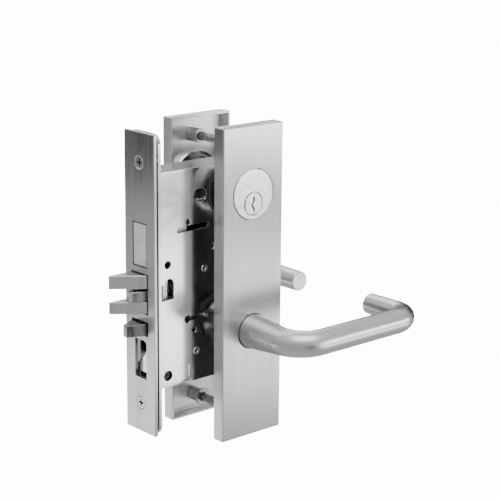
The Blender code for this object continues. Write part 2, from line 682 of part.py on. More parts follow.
def build_hub(word, side):
    """Follower in the case: a bored boss with the arm that pulls the latch back."""
    near, far = side * 0.5, side * (CASE_HALF - 0.1)
    hub = rod(f"{word}_hub", "Y", (BACKSET, LEVER_Z), HUB_RADIUS, (near, far), ZINC, FINE)
    tip = (BACKSET - HUB_ARM * math.sin(HUB_ARM_LEAN), LEVER_Z + HUB_ARM * math.cos(HUB_ARM_LEAN))
    arm = plate(f"{word}_hub_arm", "XZ", (side * 1.7, side * 6.3),
                teardrop((BACKSET, LEVER_Z), 5.0, tip, 2.0), [], ZINC)
    knuckle = rod(f"{word}_hub_tip", "Y", tip, TIP_RADIUS, (side * 1.7, side * 6.3), ZINC, SMALL)
    join(hub, arm, knuckle)
    half = SPINDLE_HALF + 0.3
    cut(hub, box(f"{word}_hub_bore", (BACKSET - half, BACKSET + half), (-30, 30),
                 (LEVER_Z - half, LEVER_Z + half), ZINC))


# ---------------------------------------------------------------- cylinder and thumbturn

def keyway():
    """Zigzag outline of the key's slot in the plug's face."""
    middle = [(0.3, 4.7), (0.3, 1.6), (-1.5, -0.9), (0.4, -3.4), (0.4, -5.6)]
    width = 0.65
    left = [(BACKSET + x - width, PLUG_Z + z) for x, z in middle]
    right = [(BACKSET + x + width, PLUG_Z + z) for x, z in middle]
    return left[::-1] + right


def build_cylinder():
    at = (BACKSET, CYLINDER_Z)
    body = turned("cylinder_body", "Y", at, [(0, -4.7), (14.3, -4.7), (14.3, -28.2), (17.25, -28.2),
                                              (17.25, -32.1), (16.9, -32.4), (0, -32.4)], NICKEL, FINE)
    cut(body, rod("plug_bore", "Y", (BACKSET, PLUG_Z), 6.6, (-40, 0), NICKEL),
        rod("plug_counterbore", "Y", (BACKSET, PLUG_Z), 7.9, (-40, -30.2), NICKEL))
    plug = turned("cylinder_plug", "Y", (BACKSET, PLUG_Z),
                  [(0, -4.7), (6.3, -4.7), (6.3, -30.6), (7.6, -30.6), (7.6, -32.2), (7.3, -32.5), (0, -32.5)],
                  NICKEL)
    cut(plug, plate("keyway", "XZ", (-34, -12), keyway(), [], NICKEL))
    plate("cylinder_cam", "XZ", (-4.3, -2.1),
          teardrop((BACKSET, PLUG_Z), 6.8, (BACKSET, PLUG_Z - 11.5), 3.0),
          [circle((BACKSET + offset, PLUG_Z), 1.35, SMALL) for offset in (-3.4, 3.4)], ZINC)
    for word, offset in (("left", -3.4), ("right", 3.4)):
        spot = (BACKSET + offset, PLUG_Z)
        cut(plug, rod(f"cam_screw_{word}_hole", "Y", spot, 1.35, (-9, 0), NICKEL, SMALL))
        turned(f"cam_screw_{word}", "Y", spot,
               [(0, -0.9), (1.9, -0.9), (1.9, -1.8), (1.05, -1.8), (1.05, -8.6), (0, -8.6)], DARK, SMALL)


def build_thumbturn():
    """Inside turn: knob, flat spindle, the plate behind the escutcheon and the arm that throws the deadbolt."""
    at = (BACKSET, CYLINDER_Z)
    knob = turned("thumbturn_knob", "Y", at,
                  [(0, 39.4), (4.6, 39.4), (9.4, 37.2), (11.2, 34.2), (11.2, ESC_FACE + GAP), (0, ESC_FACE + GAP)],
                  SATIN, FINE)
    wing = box("thumbturn_wing", (BACKSET - 3.4, BACKSET + 3.4), (34.5, 52.0),
               (CYLINDER_Z - 16.0, CYLINDER_Z + 16.0), SATIN, 1.6)
    join(knob, wing)
    cut(knob, box("thumbturn_slot", (BACKSET - 3.4, BACKSET + 3.4), (30, 39.0),
                  (CYLINDER_Z - 1.6, CYLINDER_Z + 1.6), SATIN))
    ring("thumbturn_plate", "Y", at, (5.2, 20.5), (27.4, ESC_FLOOR - GAP), ZINC, FINE)
    box("thumbturn_spindle", (BACKSET - 3.1, BACKSET + 3.1), (1.9, 38.6),
        (CYLINDER_Z - 1.3, CYLINDER_Z + 1.3), ZINC)
    reach = TURN_ARM * math.sin(math.radians(45))
    pin = (BACKSET + reach, CYLINDER_Z - reach)
    arm = plate("deadbolt_hub", "XZ", (5.5, 8.6), teardrop(at, 8.5, pin, 3.6),
                [rectangle(BACKSET - 3.4, BACKSET + 3.4, CYLINDER_Z - 1.6, CYLINDER_Z + 1.6)], ZINC)
    join(arm, rod("deadbolt_hub_pin", "Y", pin, 2.4, (1.6, 7.0), ZINC, SMALL))


# ---------------------------------------------------------------- what moves together

def pivot(name, at, pieces):
    """An empty on a joint's axis, with the pieces that move about it parented to it."""
    empty = bpy.data.objects.new(name, None)
    empty.location = [value * MM for value in at]
    PARTS.objects.link(empty)
    inverse = Matrix.Translation(empty.location).inverted()
    for piece in pieces:
        obj = PARTS.objects[piece]
        obj.parent = empty
        obj.matrix_parent_inverse = inverse


def add_pivots():
    for word, side in (("outside", -1), ("inside", 1)):
        pieces = [f"{word}_{piece}" for piece in ("lever", "set_screw", "spindle", "retainer", "hub")]
        pivot(f"{word}_lever_pivot", (BACKSET, side * DOOR_HALF, LEVER_Z), pieces)
    pivot("plug_pivot", (BACKSET, -DOOR_HALF, PLUG_Z),
          ["cylinder_plug", "cylinder_cam", "cam_screw_left", "cam_screw_right"])
    pivot("thumbturn_pivot", (BACKSET, DOOR_HALF, CYLINDER_Z),
          ["thumbturn_knob", "thumbturn_spindle", "deadbolt_hub"])
    pivot("latch_slide", (0, 0, LATCH_AXIS_Z), ["latch_bolt", "tongue_pin"])
    pivot("tongue_pivot", (TONGUE_PIN[0], TONGUE_PIN[1], LATCH_AXIS_Z), ["latch_tongue"])
    pivot("deadbolt_slide", (0, 0, sum(DEADBOLT_Z) / 2), ["deadbolt"])
    pivot("guard_slide", (0, 0, GUARD_AXIS_Z), ["guard_latch"])
    pivot("deadlock_pivot", (DEADLOCK_PIVOT[0], 0, DEADLOCK_PIVOT[1]), ["deadlock_lever"])
    pivot("hub_stop_pivot", (HUB_STOP_PIVOT[0], 0, HUB_STOP_PIVOT[1]), ["hub_stop"])


build_front_plate()
build_armor_plate()
build_front_screws()
build_case_box()
build_case_cover()
build_case_fasteners()
build_support_ring()
build_cylinder_set_screw()
build_deadbolt()
build_latch()
build_latch_guide()
build_guard_latch()
build_deadlock_lever()
build_hub_stop()
build_outside_trim()
build_inside_trim()
build_posts()
for trim_side, direction in (("outside", -1), ("inside", 1)):
    build_lever(trim_side, direction)
    build_hub(trim_side, direction)
build_cylinder()
build_thumbturn()
add_pivots()
bpy.context.view_layer.update()
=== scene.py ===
"""Looks of the lever-handle mortise lock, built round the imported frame.

Frame: X = 0 is the front plate's face and +X runs into the door, -Y is the outside of the
door and +Z is up. Sizes here are in millimetres, and the builders turn them into metres.
"""
import json
import math

import bmesh
import bpy
import numpy as np
from mathutils import Matrix, Vector
from mathutils.geometry import tessellate_polygon


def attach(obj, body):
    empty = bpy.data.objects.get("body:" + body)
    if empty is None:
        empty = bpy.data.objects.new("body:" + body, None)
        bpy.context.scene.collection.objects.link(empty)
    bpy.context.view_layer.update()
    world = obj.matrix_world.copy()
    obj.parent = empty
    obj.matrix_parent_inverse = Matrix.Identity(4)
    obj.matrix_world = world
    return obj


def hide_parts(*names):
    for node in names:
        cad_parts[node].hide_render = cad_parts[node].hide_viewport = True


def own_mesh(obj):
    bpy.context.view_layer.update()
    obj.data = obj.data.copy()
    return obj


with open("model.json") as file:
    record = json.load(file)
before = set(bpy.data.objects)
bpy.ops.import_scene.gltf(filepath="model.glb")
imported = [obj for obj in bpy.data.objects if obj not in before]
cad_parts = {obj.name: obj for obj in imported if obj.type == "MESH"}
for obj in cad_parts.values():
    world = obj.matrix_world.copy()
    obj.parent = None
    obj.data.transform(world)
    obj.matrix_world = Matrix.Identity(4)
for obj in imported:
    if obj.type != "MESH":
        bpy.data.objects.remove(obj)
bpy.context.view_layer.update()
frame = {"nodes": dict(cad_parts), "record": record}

MM = 0.001

# Front plates
PLATE_HALF_HEIGHT = 101.6
PLATE_HALF_WIDTH = 15.875
PLATE_THICK = 2.3
ARMOR_X = (3.3, 5.9)
PLATE_SCREW_Z = 81.5
DOOR_SCREW_Z = 92.5
OPENINGS = ((-7.6, 7.6, 12.3, 42.1), (-8.9, 9.4, -19.0, 8.4), (-8.6, 9.1, -33.9, -24.1))
WINDOW = (-6.6, 5.9, -63.9, -37.4)

# Lock case
COVER_X = (8.4, 104.8)
CASE_Z = (-71.4, 75.3)
CASE_HALF = 10.7
WALL = 1.5

# Screws of the cover: (x, z), level of the head's face, radius of the head
CASE_SCREWS = {
    "front": ((14.8, -63.4), -9.2, 2.6),
    "top": ((97.0, 67.0), -12.6, 3.6),
    "bottom": ((97.0, -63.0), -12.6, 3.6),
}

# Pivot ends that are headed over on the cover: (x, z), radius
RIVETS = {"rocker": ((39.0, -50.8), 2.6), "dog": ((41.5, -38.6), 2.0), "latch": ((45.7, 5.7), 2.5)}

# Round marks pressed in the cover: (x, z), radius, depth, which is negative on one that stands out
COVER_MARKS = (
    ((22.1, -50.9), 1.7, 0.35), ((13.0, 41.0), 2.2, -0.25), ((12.2, -53.0), 1.9, -0.25),
    ((25.0, -59.3), 1.6, 0.3), ((14.0, 66.0), 1.4, 0.3), ((52.0, 20.0), 2.4, 0.3),
    ((88.0, -14.0), 2.4, 0.3), ((90.0, 30.0), 3.0, 0.3),
)

# Axes of the cylinder, its plug, the levers and the through bolts
BACKSET = 69.85
CYLINDER_Z = 56.65
PLUG_Z = 50.25
LEVER_Z = -37.9
POST_X = 68.0
POST_Z = (88.3, -98.5)

# Escutcheons
DOOR_HALF = 22.5
ESC_FACE = 32.2
ESC_HALF_WIDTH = 25.7
ESC_Z = (-112.0, 103.0)
ESC_WALL = 1.6

# Levers
LEVER_REACH = 107.3
LEVER_STANDOFF = 47.4
NECK_BEND = 19.0
RETURN_BEND = 17.0
END_GAP = 4.7
NECK_INSIDE = 6.6              # length of the neck behind the escutcheon's floor
SOCKET_DEPTH = 17.0
NECK_RADIUS = 11.9
BAR_RADIUS = 8.8
END_RADIUS = 7.5

# Key cylinder and the grip of the inside turn
CYLINDER_HEAD_RADIUS = 16.9
PLUG_RECESS_RADIUS = 8.3
PLUG_FACE_RADIUS = 7.25
PLUG_RADIUS = 6.3
PLUG_BORE_RADIUS = 6.6
GRIP_BASE = 36.0
GRIP_HEIGHT = 16.0
GRIP_HALF_WIDTH = 15.9
GRIP_HALF_THICK = 3.35

# Bolts: the latches' flanks are at their own y on the inside and share one on the outside
DEADBOLT_FACE = (-6.7, 6.7, 13.1, 41.2)
DEADBOLT_SLOT = (45.0, 39.4)
LATCH_INSIDE = 8.9
GUARD_INSIDE = 8.8
OUTSIDE_FLANK = -7.0
LATCH_PRONGS_Z = ((-18.5, -10.3), (-1.5, 7.6))
GUARD_Z = (-33.4, -25.3)
GUARD_NOSE = 2.0
GUARD_REACH = 12.3
DEADBOLT_THROW = 25.4
LATCH_AXIS_Z = -5.45
GUARD_AXIS_Z = -29.35
LATCH_SPRING_X = (18.7, 50.6)
GUARD_SPRING_X = (15.1, 34.0)

# Camera: angles in degrees, lengths in metres
CAMERA_AZIMUTH = -42.55
CAMERA_ELEVATION = 13.08
CAMERA_ROLL = 0.85
CAMERA_TARGET = (0.13464, 0.0, 0.0327)
CAMERA_DISTANCE = 1.0694
CAMERA_LENS = 108.71
CAMERA_SHIFT = (-0.0852, -0.0861)

# Studio, in metres
FLOOR_Z = -1.0
STUDIO_CENTRE = (0.07, 0.0, 0.0)
BACKDROP = 14.0
SURROUND = (0.30, 1.0)         # brightness of the surroundings at the horizon and overhead

# Lights: azimuth, elevation, distance, (width, height) in metres, radiance
SOFTBOXES = {
    "face_panel": (38, -19, 0.75, (0.7, 0.18), 2.6),
    "face_strip": (38, 1, 0.75, (0.7, 0.12), 7.0),
    "overhead": (-20, 62, 1.0, (0.9, 0.7), 2.6),
    "edge_panel": (-130, -26, 0.8, (0.5, 0.20), 1.6),
    "rear_panel": (150, 40, 1.2, (0.9, 0.8), 1.6),
}

# Black cards, which put dark reflections in the metal: azimuth, elevation, distance, size
FLAGS = {
    "right_flag": (118, 3, 0.6, (0.8, 0.38)),
    "front_flag": (-12, -14, 0.8, (0.22, 0.30)),
    "edge_flag": (-141, -1, 0.9, (0.7, 0.22)),
}


# ---------------------------------------------------------------- outlines, as (n, 2) arrays

def arc(centre, radius, start, end, steps):
    """centre + radius * (cos, sin) of an angle that runs evenly from start to end, in degrees."""
    angle = np.radians(np.linspace(start, end, steps + 1))
    return np.stack([centre[0] + radius * np.cos(angle), centre[1] + radius * np.sin(angle)], axis=1)


def circle(centre, radius, steps=48):
    """An arc of a whole turn, without its repeated last point."""
    return arc(centre, radius, 0, 360, steps)[:-1]


def rectangle(u0, u1, v0, v1, radius=0.3, steps=3):
    """Four quarter arcs, one at each corner, joined by the straight sides."""
    corners = (((u1 - radius, v0 + radius), -90), ((u1 - radius, v1 - radius), 0),
               ((u0 + radius, v1 - radius), 90), ((u0 + radius, v0 + radius), 180))
    return np.concatenate([arc(centre, radius, start, start + 90, steps) for centre, start in corners])


def slot(start, end, radius, steps=8):
    """Half a circle round each end of a straight line."""
    angle = math.degrees(math.atan2(end[1] - start[1], end[0] - start[0]))
    return np.concatenate([arc(end, radius, angle - 90, angle + 90, steps),
                           arc(start, radius, angle + 90, angle + 270, steps)])


def cross(centre, size, width):
    """A plus sign: the recess of a cross-head screw."""
    a, b = size / 2, width / 2
    points = [(a, -b), (a, b), (b, b), (b, a), (-b, a), (-b, b), (-a, b), (-a, -b), (-b, -b), (-b, -a),
              (b, -a), (b, -b)]
    return np.array(points) + np.array(centre)


def area(outline):
    """Half the sum of the cross products of neighbouring points: positive anticlockwise."""
    u, v = outline[:, 0], outline[:, 1]
    return 0.5 * np.sum(u * np.roll(v, -1) - v * np.roll(u, -1))


def turned_to(outline, sign):
    """The outline with its points in the order that gives its area this sign."""
    return outline if np.sign(area(outline)) == sign else outline[::-1]


def inset(outline, distance):
    """Each point moves along the bisector of its two sides' left normals, to keep the distance."""
    side = np.roll(outline, -1, axis=0) - outline
    side = side / np.maximum(np.linalg.norm(side, axis=1, keepdims=True), 1e-9)
    normal = np.stack([-side[:, 1], side[:, 0]], axis=1)
    before = np.roll(normal, 1, axis=0)
    spread = 1.0 + np.sum(normal * before, axis=1, keepdims=True)
    return outline + distance * (normal + before) / np.maximum(spread, 0.3)


# ---------------------------------------------------------------- solids

class Solid:
    """Points and faces of one or more closed surfaces, in millimetres."""

    def __init__(self):
        self.points = []
        self.faces = []
        self.grain = []
        self.flat = set()
        self.count = 0

    def add(self, points, grain=None):
        """Adds points, with their place in the grain, and gives the first one's number."""
        start = self.count
        self.points.append(np.asarray(points, float))
        self.grain.append(np.zeros((len(points), 3)) if grain is None else grain)
        self.count += len(points)
        return start

    def bridge(self, first, second, size):
        """Quads between two rings of the same size."""
        here = np.arange(size)
        after = (here + 1) % size
        corners = [first + here, first + after, second + after, second + here]
        self.faces += np.stack(corners, axis=1).tolist()

    def fan(self, ring, size, centre):
        """Triangles from a ring to one point."""
        here = np.arange(size)
        corners = [ring + here, ring + (here + 1) % size, np.full(size, centre)]
        self.faces += np.stack(corners, axis=1).tolist()


PLANES = {"YZ": (2, 0, 1), "XZ": (0, 2, 1), "XY": (0, 1, 2)}


def to_world(points, plane):
    """Reorders (u, v, w) columns: u and v lie in the plane and w runs along its normal axis."""
    return points[:, PLANES[plane]]


def flat_points(outline, level):
    """(u, v) points raised to (u, v, level)."""
    return np.column_stack([outline, np.full(len(outline), level)])


def pressed(solid, plane, face, direction, loops, profiles):
    """A sheet-metal solid: each outline is carried along a profile of (inset, depth) steps.

    The first outline is the outer one and the rest are holes. Inset moves an outline into the
    metal, and depth goes from the face in the given direction. The face is closed between all
    the outlines. At the far end, outlines that stop at the outer one's depth are closed with
    it, and the others have a floor of their own: a recess, or a boss if its depth is negative.
    """
    ends, starts = [], []
    for number, (outline, profile) in enumerate(zip(loops, profiles)):
        outline = turned_to(np.asarray(outline, float), 1 if number == 0 else -1)
        rings = []
        for distance, depth in profile:
            ring = flat_points(inset(outline, distance), face + direction * depth)
            rings.append((solid.add(to_world(ring, plane)), ring))
        for (first, _), (second, _) in zip(rings, rings[1:]):
            solid.bridge(first, second, len(outline))
        starts.append(rings[0])
        ends.append((*rings[-1], profile[-1][1]))
    close(solid, starts)
    far = ends[0][2]
    close(solid, [end[:2] for end in ends if abs(end[2] - far) < 1e-6])
    for end in ends[1:]:
        if abs(end[2] - far) >= 1e-6:
            close(solid, [end[:2]])
    return solid


def close(solid, rings):
    """Triangles between an outer ring and the rings of the holes in it."""
    index = np.concatenate([start + np.arange(len(ring)) for start, ring in rings])
    polygons = [[Vector((u, v, 0)) for u, v in ring[:, :2]] for _, ring in rings]
    triangles = np.array(tessellate_polygon(polygons))
    solid.flat.update(range(len(solid.faces), len(solid.faces) + len(triangles)))
    solid.faces += index[triangles].tolist()


def edge(radius, steps=3):
    """(inset, depth) steps of a quarter circle, from the face round to the side."""
    angle = np.linspace(0, math.pi / 2, steps + 1)
    return list(zip(radius * (1 - np.sin(angle)), radius * (1 - np.cos(angle))))


def through(thickness, radius=0.25, steps=3):
    """Profile of a side with both of its edges rounded."""
    front = edge(radius, steps)
    back = [(a, thickness - b) for a, b in reversed(front)]
    return front + back


def sheet(solid, plane, span, outline, holes=(), radius=0.25):
    """A flat piece between two levels, with rounded edges."""
    start, end = span
    thickness = abs(end - start)
    profile = through(thickness, min(radius, thickness * 0.45))
    pressed(solid, plane, start, np.sign(end - start), [outline, *holes], [profile] * (1 + len(holes)))
    return solid


AXES = {"X": (2, 0, 1), "Y": (0, 2, 1), "Z": (0, 1, 2)}


def revolved(solid, axis, at, profile, steps=64):
    """(radius, height) points carried round an axis; radius 0 closes the end in one point.

    A profile with no point on the axis is joined to itself, which makes a ring.
    """
    angle = np.linspace(0, 2 * math.pi, steps, endpoint=False)
    rings = []
    for radius, height in profile:
        if radius < 1e-6:
            points = np.array([[at[0], at[1], height]])
        else:
            points = np.column_stack([at[0] + radius * np.cos(angle), at[1] + radius * np.sin(angle),
                                      np.full(steps, height)])
        rings.append((solid.add(points[:, AXES[axis]]), len(points)))
    if profile[0][0] > 1e-6:
        rings.append(rings[0])
    for (first, size), (second, other) in zip(rings, rings[1:]):
        if size > 1 and other > 1:
            solid.bridge(first, second, steps)
        elif size > 1:
            solid.fan(first, steps, second)
        elif other > 1:
            solid.fan(second, steps, first)
    return solid


def stacked(solid, grid, ends, grain=None, end_grain=(None, None)):
    """Rings from the rows of a grid of points, joined in order and closed at two end points."""
    sides = grid.shape[1]
    places = [None] * len(grid) if grain is None else grain
    rows = [solid.add(row, place) for row, place in zip(grid, places)]
    for here, after in zip(rows, rows[1:]):
        solid.bridge(here, after, sides)
    for row, end, place in zip((rows[0], rows[-1]), ends, end_grain):
        solid.fan(row, sides, solid.add(np.array([end], float), place))
    return solid


def line_length(path):
    """Length along a line at each of its points."""
    return np.concatenate([[0], np.cumsum(np.linalg.norm(np.diff(path, axis=0), axis=1))])


def round_bar(solid, path, radii, first, second, sides):
    """A bar: centre line + radius * (cos a * first + sin a * second) for the ring's angle a.

    The grain attribute holds the place on the bar as if it were straight: radius * cos a,
    radius * sin a, and the length along the centre line.
    """
    angle = np.linspace(0, 2 * math.pi, sides, endpoint=False)
    cosine, sine = np.cos(angle), np.sin(angle)
    around = cosine[None, :, None] * first[:, None] + sine[None, :, None] * second[:, None]
    points = path[:, None] + radii[:, None, None] * around
    length = line_length(path)
    along = np.repeat(length[:, None], sides, axis=1)
    grain = np.stack([radii[:, None] * cosine, radii[:, None] * sine, along], axis=2) * MM
    end_grain = [np.array([[0.0, 0.0, place * MM]]) for place in (0.0, length[-1])]
    return stacked(solid, points, (path[0], path[-1]), grain, end_grain)


def swept(solid, path, radii, up, sides=48):
    """A round bar along any line, whose rings start at the up direction made square to the line."""
    path, radii, up = (np.asarray(value, float) for value in (path, radii, up))
    tangent = np.gradient(path, axis=0)
    tangent /= np.linalg.norm(tangent, axis=1, keepdims=True)
    first = up - tangent * (tangent @ up)[:, None]
    first /= np.linalg.norm(first, axis=1, keepdims=True)
    return round_bar(solid, path, radii, first, np.cross(tangent, first), sides)


def threaded(solid, at, span, radius, pitch, depth, sides=24):
    """A screwed rod along Y: radius - depth * the triangle wave of (length / pitch - angle / turn)."""
    rows = int(abs(span[1] - span[0]) / pitch * 6)
    along = np.linspace(span[0], span[1], rows)[:, None]
    angle = np.linspace(0, 2 * math.pi, sides, endpoint=False)[None, :]
    phase = (along / pitch - angle / (2 * math.pi)) % 1.0
    size = radius - depth * np.abs(2 * phase - 1)
    x = at[0] + size * np.cos(angle)
    z = at[1] + size * np.sin(angle)
    y = np.broadcast_to(along, x.shape)
    ends = [(at[0], end, at[1]) for end in span]
    return stacked(solid, np.stack([x, y, z], axis=2), ends)


def coil(solid, axis, at, span, radius, wire_radius, turns):
    """A spring: a helix with one nearly closed turn at each end and an even pitch between."""
    count = int(turns * 28)
    t = np.linspace(0, turns, count)
    shape = np.interp(t, [0, 1, turns - 1, turns], [0, 0.06, 0.94, 1])
    along = span[0] + (span[1] - span[0]) * shape
    angle = 2 * math.pi * t
    local = np.column_stack([at[0] + radius * np.cos(angle), at[1] + radius * np.sin(angle), along])
    up = {"X": (1, 0, 0), "Y": (0, 1, 0)}[axis]
    return swept(solid, local[:, AXES[axis]], np.full(count, wire_radius), up, 10)


def piece(name, solid, body, material, slot_name, *nodes, angle=30):
    """The solid as an object of the lock: faces out, flat faces kept flat, riding on its body."""
    mesh = bpy.data.meshes.new(name)
    mesh.from_pydata((np.concatenate(solid.points) * MM).tolist(), [], solid.faces)
    shape = bmesh.new()
    shape.from_mesh(mesh)
    for face in shape.faces:
        face.smooth = face.index not in solid.flat
    bmesh.ops.dissolve_degenerate(shape, dist=1e-8, edges=shape.edges)
    bmesh.ops.recalc_face_normals(shape, faces=shape.faces)
    shape.to_mesh(mesh)
    shape.free()
    grain = np.concatenate(solid.grain)
    if grain.any() and len(grain) == len(mesh.vertices):
        attribute = mesh.attributes.new("grain_place", "FLOAT_VECTOR", "POINT")
        attribute.data.foreach_set("vector", grain.astype(np.float32).ravel())
    mesh.set_sharp_from_angle(angle=math.radians(angle))
    mesh.materials.append(material)
    obj = bpy.data.objects.new(name, mesh)
    bpy.context.scene.collection.objects.link(obj)
    weigh = obj.modifiers.new("flat_faces", "WEIGHTED_NORMAL")
    weigh.keep_sharp = True
    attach(obj, body)
    if nodes:
        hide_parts(*nodes)
    return obj


# ---------------------------------------------------------------- finishes

class Nodes:
    """Short calls for a material's node tree."""

    def __init__(self, name):
        self.material = bpy.data.materials.new(name)
        self.material.use_nodes = True
        self.tree = self.material.node_tree
        self.shader = self.tree.nodes["Principled BSDF"]

    def new(self, kind, **values):
        """Adds a node and sets its properties."""
        node = self.tree.nodes.new(kind)
        for key, value in values.items():
            setattr(node, key, value)
        return node

    def link(self, output, target):
        """Joins an output socket to an input socket."""
        self.tree.links.new(output, target)

    def coordinates(self, scale, attribute=None):
        """Object coordinates, or an attribute's, stretched by a scale on each axis."""
        mapping = self.new("ShaderNodeMapping")
        mapping.inputs["Scale"].default_value = scale
        if attribute:
            source = self.new("ShaderNodeAttribute", attribute_name=attribute)
            self.link(source.outputs["Vector"], mapping.inputs["Vector"])
        else:
            source = self.new("ShaderNodeTexCoord")
            self.link(source.outputs["Object"], mapping.inputs["Vector"])
        return mapping.outputs["Vector"]

    def noise(self, vector, detail, roughness, distortion=0.0):
        """Soft random values about 0.5, one cell to each unit of the vector."""
        node = self.new("ShaderNodeTexNoise")
        node.inputs["Scale"].default_value = 1.0
        node.inputs["Detail"].default_value = detail
        node.inputs["Roughness"].default_value = roughness
        node.inputs["Distortion"].default_value = distortion
        self.link(vector, node.inputs["Vector"])
        return node.outputs["Fac"]

    def ramp(self, value, low, high, start, end):
        """value from low..high to start..end, held at both ends."""
        node = self.new("ShaderNodeMapRange")
        node.inputs["From Min"].default_value = low
        node.inputs["From Max"].default_value = high
        node.inputs["To Min"].default_value = start
        node.inputs["To Max"].default_value = end
        self.link(value, node.inputs["Value"])
        return node.outputs["Result"]

    def math(self, operation, first, second):
        """One sum of two values, each a number or a node's output."""
        node = self.new("ShaderNodeMath", operation=operation)
        for socket, value in zip(node.inputs, (first, second)):
            if isinstance(value, float):
                socket.default_value = value
            else:
                self.link(value, socket)
        return node.outputs["Value"]

    def mix(self, share, first, second):
        """From the first colour at share 0 to the second at share 1."""
        node = self.new("ShaderNodeMix", data_type="RGBA")
        self.link(share, node.inputs["Factor"])
        for socket, value in ((node.inputs["A"], first), (node.inputs["B"], second)):
            if isinstance(value, tuple):
                socket.default_value = (*value, 1.0)
            else:
                self.link(value, socket)
        return node.outputs["Result"]

    def edges(self, radius=0.0004):
        """0 on flats and 1 within a radius of an edge, where a rounded normal leans away."""
        rounded = self.new("ShaderNodeBevel", samples=8)
        rounded.inputs["Radius"].default_value = radius
        true = self.new("ShaderNodeNewGeometry")
        agree = self.new("ShaderNodeVectorMath", operation="DOT_PRODUCT")
        self.link(rounded.outputs["Normal"], agree.inputs[0])
        self.link(true.outputs["Normal"], agree.inputs[1])
        return self.ramp(agree.outputs["Value"], 0.80, 0.99, 1.0, 0.0)

    def hollows(self):
        """1 in tight hollows, such as a screw's recess, and 0 on flats."""
        geometry = self.new("ShaderNodeNewGeometry")
        return self.ramp(geometry.outputs["Pointiness"], 0.40, 0.49, 1.0, 0.0)

    def bump(self, height, strength, distance):
        """Relief from a height, whose unit is the distance in metres."""
        node = self.new("ShaderNodeBump")
        node.inputs["Strength"].default_value = strength
        node.inputs["Distance"].default_value = distance
        self.link(height, node.inputs["Height"])
        self.link(node.outputs["Normal"], self.shader.inputs["Normal"])

    def metal(self, colour, roughness, metallic=1.0):
        """Feeds a colour and a roughness, each a number or a node's output."""
        self.shader.inputs["Metallic"].default_value = metallic
        for key, value in (("Base Color", colour), ("Roughness", roughness)):
            if isinstance(value, tuple):
                self.shader.inputs[key].default_value = (*value, 1.0)
            elif isinstance(value, float):
                self.shader.inputs[key].default_value = value
            else:
                self.link(value, self.shader.inputs[key])


def brushed_steel(name, colour, roughness, scale, depth, contrast, attribute=None, anisotropy=0.0):
    """Satin metal: fine lines from stretched noise, a few deeper scratches, and slow cloudy wear.

    The scale is the number of lines in a metre along each axis.
    """
    nodes = Nodes(name)
    lines = nodes.noise(nodes.coordinates(scale, attribute), 5.0, 0.7)
    cloud = nodes.noise(nodes.coordinates((110, 110, 6), attribute), 3.0, 0.5)
    scratch_scale = tuple(value * 0.35 for value in scale)
    scratches = nodes.noise(nodes.coordinates(scratch_scale, attribute), 2.0, 0.5, 0.3)
    dark = tuple(value * (1 - contrast) for value in colour)
    light = tuple(min(1.0, value * (1 + contrast * 0.6)) for value in colour)
    grain = nodes.mix(nodes.ramp(lines, 0.3, 0.7, 0.0, 1.0), dark, light)
    # Edges painted lighter than the flats: partly wear, partly a painted highlight.
    worn_and_highlight = tuple(min(1.0, value * 1.18) for value in colour)
    colour_out = nodes.mix(nodes.edges(), grain, worn_and_highlight)
    tone = nodes.ramp(cloud, 0.3, 0.7, roughness - 0.03, roughness + 0.04)
    fine = nodes.ramp(lines, 0.25, 0.75, -0.05, 0.05)
    nodes.metal(colour_out, nodes.math("ADD", tone, fine))
    relief = nodes.math("ADD", lines, nodes.ramp(scratches, 0.62, 0.72, 0.0, 0.6))
    nodes.bump(relief, 0.35, depth)
    if anisotropy:
        nodes.shader.inputs["Anisotropic"].default_value = anisotropy
        tangent = nodes.new("ShaderNodeTangent", direction_type="RADIAL", axis="Z")
        nodes.link(tangent.outputs["Tangent"], nodes.shader.inputs["Tangent"])
    return nodes.material


def plated_steel(name, colour, roughness):
    """Bright zinc on pressed sheet: faint mottling, rolling marks, dull smudges and small pits."""
    nodes = Nodes(name)
    mottle = nodes.noise(nodes.coordinates((70, 70, 70)), 2.0, 0.5, 0.3)
    rolling = nodes.noise(nodes.coordinates((60, 60, 1500)), 3.0, 0.6)
    pits = nodes.noise(nodes.coordinates((900, 900, 900)), 2.0, 0.5)
    dull = tuple(value * 0.95 for value in colour)
    shade = nodes.mix(nodes.ramp(mottle, 0.35, 0.65, 0.0, 1.0), dull, colour)
    # Edges painted lighter than the flats: partly wear, partly a painted highlight.
    bright = tuple(min(1.0, value * 1.15) for value in colour)
    colour_out = nodes.mix(nodes.edges(), shade, bright)
    tone = nodes.ramp(mottle, 0.3, 0.7, roughness - 0.02, roughness + 0.03)
    nodes.metal(colour_out, nodes.math("ADD", tone, nodes.ramp(rolling, 0.3, 0.7, -0.02, 0.02)))
    waves = nodes.ramp(rolling, 0.3, 0.7, 0.0, 0.5)
    nodes.bump(nodes.math("ADD", waves, nodes.ramp(pits, 0.25, 0.4, 0.0, 0.6)), 0.12, 0.00001)
    return nodes.material


def screw_metal(name, colour, roughness):
    """Nickel-plated screw: fine turning grit, rims painted lighter as partly wear and partly a painted
    highlight, and painted shade in the recess.
    """
    nodes = Nodes(name)
    grit = nodes.noise(nodes.coordinates((700, 700, 700)), 3.0, 0.6)
    bright = tuple(min(1.0, value * 1.15) for value in colour)
    # Rims painted lighter than the head: partly wear, partly a painted highlight.
    shade = nodes.mix(nodes.edges(), colour, bright)
    # Painted shade: tight hollows such as the cross recess are painted nearly black.
    nodes.metal(nodes.mix(nodes.hollows(), shade, (0.02, 0.02, 0.02)),
                nodes.ramp(grit, 0.3, 0.7, roughness - 0.05, roughness + 0.05))
    nodes.bump(grit, 0.15, 0.00002)
    return nodes.material


